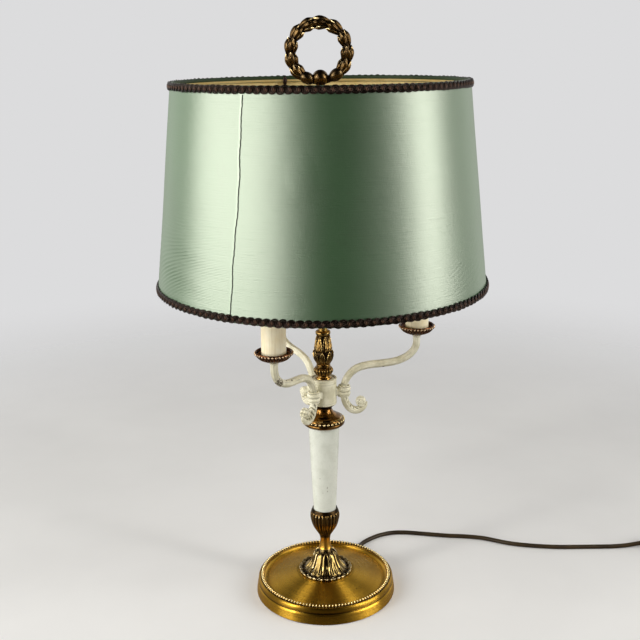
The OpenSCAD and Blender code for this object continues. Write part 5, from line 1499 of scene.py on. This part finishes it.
PX, PY = 572.0, -22.0
b = Build()
plan = [(-58, -13), (-34, -13), (-26, -8.6), (-22.2, -5.6), (-22.2, 5.6), (-26, 8.6), (-34, 13), (-58, 13)]
plan = spaced(fillet(plan, [2.2, 6, 6, 1.0, 1.0, 6, 6, 2.2], seg=6), 2.5, closed=True)
loft(b, plan, rounded_levels(0.05, 13.5, 2.2, 6))
s0 = len(b.v)
rp = [(2.75, 0.0), (3.3, 0.0), (3.45, 0.5)]
for k in range(6):
    z = 1.6 + k * 3.3
    r = lerp(3.5, 5.4, z / 23)
    rp += [(r, z), (r - 0.55, z + 0.4), (r - 0.5, z + 1.5), (r + 0.1, z + 1.9)]
rp += [(5.4, 22.0), (5.5, 23.5), (2.75, 23.5)]
turned(b, np.array(rp), n=36)
b.place(s0, shift(0, 0, 6.75) @ rot("Y", -90))
for sy in (-1, 1):  # finger grips
    for k in range(4):
        s0 = len(b.v)
        tube(b, [(-54 + k * 4.2, sy * 12.75, 3.2), (-54 + k * 4.2, sy * 13.1, 5), (-54 + k * 4.2, sy * 13.15, 6.75), (-54 + k * 4.2, sy * 13.1, 8.5), (-54 + k * 4.2, sy * 12.75, 10.3)],
             [0.3, 0.7, 0.8, 0.7, 0.3], n=8, up=(1, 0, 0))
b.place(0, shift(PX, PY, 0) @ rot("Z", 90))
finish_piece(b.make("plug_moulded", M["switch_plastic"], sharp=35), "lamp_body", ("plug_body",))
b = Build()
for sy in (-1, 1):
    s0 = len(b.v)
    idx = turned(b, fillet([(0.02, -77), (1.3, -77), (2.0, -75.6), (2.0, -58.0), (0.02, -58.0)], [0, 0.5, 0.8, 0.1, 0], seg=4, closed=False), n=32, closed=False)
    b.cap(idx[0], (0, 0, -77))
    b.place(s0, shift(0, 9.5 * sy, 6.75) @ rot("Y", 90))
b.place(0, shift(PX, PY, 0) @ rot("Z", 90))
finish_piece(b.make("plug_pins_turned", M["nickel"], sharp=40), "lamp_body", ("plug_pins",))

# ---------------------------------------------------------------- floor, world and lights

floor_me = bpy.data.meshes.new("floor")
N_F, R_F = 96, 3.2
fv = [(0, 0, 0)] + [(R_F * math.cos(TAU * k / N_F), R_F * math.sin(TAU * k / N_F), 0) for k in range(N_F)]
floor_me.from_pydata(fv, [], [(0, 1 + k, 1 + (k + 1) % N_F) for k in range(N_F)])
floor = bpy.data.objects.new("floor", floor_me)
bpy.context.scene.collection.objects.link(floor)
floor.location = (0, 0, -0.0002)
fm = Mat("floor_pale")
n1 = fm.noise(6, 3, 0.5)
fm.set(color=fm.mix(fm.range(n1, 0.3, 0.7), (0.72, 0.715, 0.705), (0.69, 0.685, 0.675)), rough=0.8, spec=0.1, normal=fm.bump(fm.noise(400, 2), 0.0001, 0.2))
# the floor also glows faintly: an emission that lights the lamp from below as fill light
fm.p.inputs["Emission Color"].default_value = (1, 0.985, 0.96, 1)
fm.p.inputs["Emission Strength"].default_value = 0.12
dist = fm.vec("LENGTH", fm.co)
tr = fm.node("ShaderNodeBsdfTransparent")
mx = fm.node("ShaderNodeMixShader")
fm.nt.links.new(fm.range(dist, 0.5, 1.5), mx.inputs[0])
fm.nt.links.new(fm.p.outputs[0], mx.inputs[1])
fm.nt.links.new(tr.outputs[0], mx.inputs[2])
fm.nt.links.new(mx.outputs[0], fm.out.inputs[0])
# the object sees a darker table than the camera does, as in a room
flp = fm.node("ShaderNodeLightPath")
fdim = fm.node("ShaderNodeBsdfDiffuse")
fx, fy, fz = fm.xyz()
ratio = fm.math("DIVIDE", fm.math("ABSOLUTE", fx), fm.math("MAXIMUM", dist, 0.001))
front = fm.math("MULTIPLY", fm.range(ratio, 0.30, 0.75, 1.0, 0.0), fm.range(fy, 0.0, -0.03, 0.0, 1.0))
bounce = fm.mix(fm.range(dist, 0.2, 0.55), (0.38, 0.35, 0.30), (0.05, 0.045, 0.04))
fm.put(fdim.inputs[0], fm.mix(front, bounce, (0.115, 0.10, 0.08)))
fmx = fm.node("ShaderNodeMixShader")
fm.nt.links.new(flp.outputs["Is Camera Ray"], fmx.inputs[0])
fm.nt.links.new(fdim.outputs[0], fmx.inputs[1])
fm.nt.links.new(fm.p.outputs[0], fmx.inputs[2])
fm.nt.links.new(fmx.outputs[0], mx.inputs[1])
floor_me.materials.append(fm.m)

world = bpy.data.worlds.new("studio")
bpy.context.scene.world = world
world.use_nodes = True
nt = world.node_tree
nt.nodes.clear()
wout = nt.nodes.new("ShaderNodeOutputWorld")
bg_seen = nt.nodes.new("ShaderNodeBackground")
bg_seen.inputs[0].default_value = (*srgb(220, 220, 221), 1)
bg_lit = nt.nodes.new("ShaderNodeBackground")
lp = nt.nodes.new("ShaderNodeLightPath")
wmix = nt.nodes.new("ShaderNodeMixShader")
wco = nt.nodes.new("ShaderNodeTexCoord")
sep = nt.nodes.new("ShaderNodeSeparateXYZ")
nt.links.new(wco.outputs["Generated"], sep.inputs[0])

def wrange(v, a_, b_, c_, d_):
    n = nt.nodes.new("ShaderNodeMapRange")
    n.interpolation_type = "SMOOTHSTEP"
    nt.links.new(v, n.inputs[0])
    for i_, x_ in enumerate((a_, b_, c_, d_)):
        n.inputs[i_ + 1].default_value = x_
    return n.outputs[0]


def wmath(op, a_, b_):
    n = nt.nodes.new("ShaderNodeMath")
    n.operation = op
    for i_, x_ in enumerate((a_, b_)):
        if isinstance(x_, bpy.types.NodeSocket):
            nt.links.new(x_, n.inputs[i_])
        else:
            n.inputs[i_].default_value = x_
    return n.outputs[0]


# a pale wall behind, a dim room in front and overhead
across = wmath("ABSOLUTE", sep.outputs[0], 0.0)
back = wmath("MULTIPLY", wrange(sep.outputs[1], 0.0, 0.8, 0.0, 1.15), wrange(sep.outputs[2], 0.5, 0.95, 1.0, 0.05))
wide_ = wmath("ADD", wrange(across, 0.12, 0.28, 0.0, 0.36), wrange(across, 0.28, 0.58, 0.0, 0.64))
back = wmath("MULTIPLY", back, wmath("MAXIMUM", wide_, wrange(sep.outputs[2], 0.26, 0.50, 0.40, 0.0)))
bg_lit.inputs[0].default_value = (1.0, 0.99, 0.975, 1)
side = wrange(across, 0.25, 0.8, 0.0, 0.34)
nt.links.new(wmath("ADD", wmath("MAXIMUM", back, side), 0.012), bg_lit.inputs[1])
nt.links.new(lp.outputs["Is Camera Ray"], wmix.inputs[0])
nt.links.new(bg_lit.outputs[0], wmix.inputs[1])
nt.links.new(bg_seen.outputs[0], wmix.inputs[2])
nt.links.new(wmix.outputs[0], wout.inputs[0])


def softbox(name, az, el, dist, w_, h_, power, color=(1, 1, 1), aim=(0, 0, 0.3)):
    d = bpy.data.lights.new(name, "AREA")
    d.shape = "RECTANGLE"
    d.size, d.size_y = w_, h_
    d.energy = power
    d.color = color
    o = bpy.data.objects.new(name, d)
    bpy.context.scene.collection.objects.link(o)
    v = Vector((math.cos(rad(el)) * math.sin(rad(az)), -math.cos(rad(el)) * math.cos(rad(az)), math.sin(rad(el))))
    o.location = Vector(aim) + v * dist
    o.rotation_euler = v.to_track_quat("Z", "Y").to_euler()
    o.visible_camera = False
    return o


# azimuth counts from the front, positive to the right
key_left = softbox("key_left", -61, 5, 1.7, 2.4, 1.25, 35, (1.0, 0.99, 0.96), aim=(0, 0, 0.46))
softbox("key_right", 76, 5, 1.75, 0.85, 1.25, 16, (1.0, 0.99, 0.96), aim=(0, 0, 0.46))
strip_left = softbox("strip_left", -57, 33, 1.9, 0.2, 1.3, 11, (1.0, 0.98, 0.94), aim=(0, 0, 0.2))
strip_right = softbox("strip_right", 61, 33, 1.9, 0.2, 1.3, 10, (1.0, 0.98, 0.94), aim=(0, 0, 0.2))


# the wide key would wash out the turned dish: the dish gets a narrower one from the same side
shell_ob = bpy.data.objects["foot_shell"]
key_foot = softbox("key_foot", -64, 6, 1.75, 0.7, 1.25, 12, (1.0, 0.99, 0.96), aim=(0, 0, 0.46))
ray_left = softbox("ray_left", -118, 64, 1.9, 0.07, 0.3, 1.7, (1.0, 0.97, 0.9), aim=(0, -0.04, 0.02))
ray_right = softbox("ray_right", 121, 64, 1.9, 0.07, 0.3, 1.8, (1.0, 0.97, 0.9), aim=(0, -0.04, 0.02))
shadows = bpy.data.collections.new("foot_shadows")
for n_ in ("foot_shell", "leaf_collar", "foot_neck", "fluted_cup_cast", "bead_ring"):
    shadows.objects.link(bpy.data.objects[n_])
for lamp_, state in ((key_left, "EXCLUDE"), (key_foot, "INCLUDE"), (ray_left, "INCLUDE"), (ray_right, "INCLUDE")):
    if lamp_ in (ray_left, ray_right):  # the shade would hide them
        lamp_.light_linking.blocker_collection = shadows
    col_ = bpy.data.collections.new("lit_" + lamp_.name)
    col_.objects.link(shell_ob)
    lamp_.light_linking.receiver_collection = col_
    col_.collection_objects[0].light_linking.link_state = state
for lamp_ in (strip_left, strip_right):  # these two are for the metal
    col_ = bpy.data.collections.new("lit_" + lamp_.name)
    col_.objects.link(bpy.data.objects["shade_cover_satin"])
    lamp_.light_linking.receiver_collection = col_
    col_.collection_objects[0].light_linking.link_state = "EXCLUDE"

scene = bpy.context.scene
scene.view_settings.view_transform = "Standard"
scene.view_settings.look = "None"
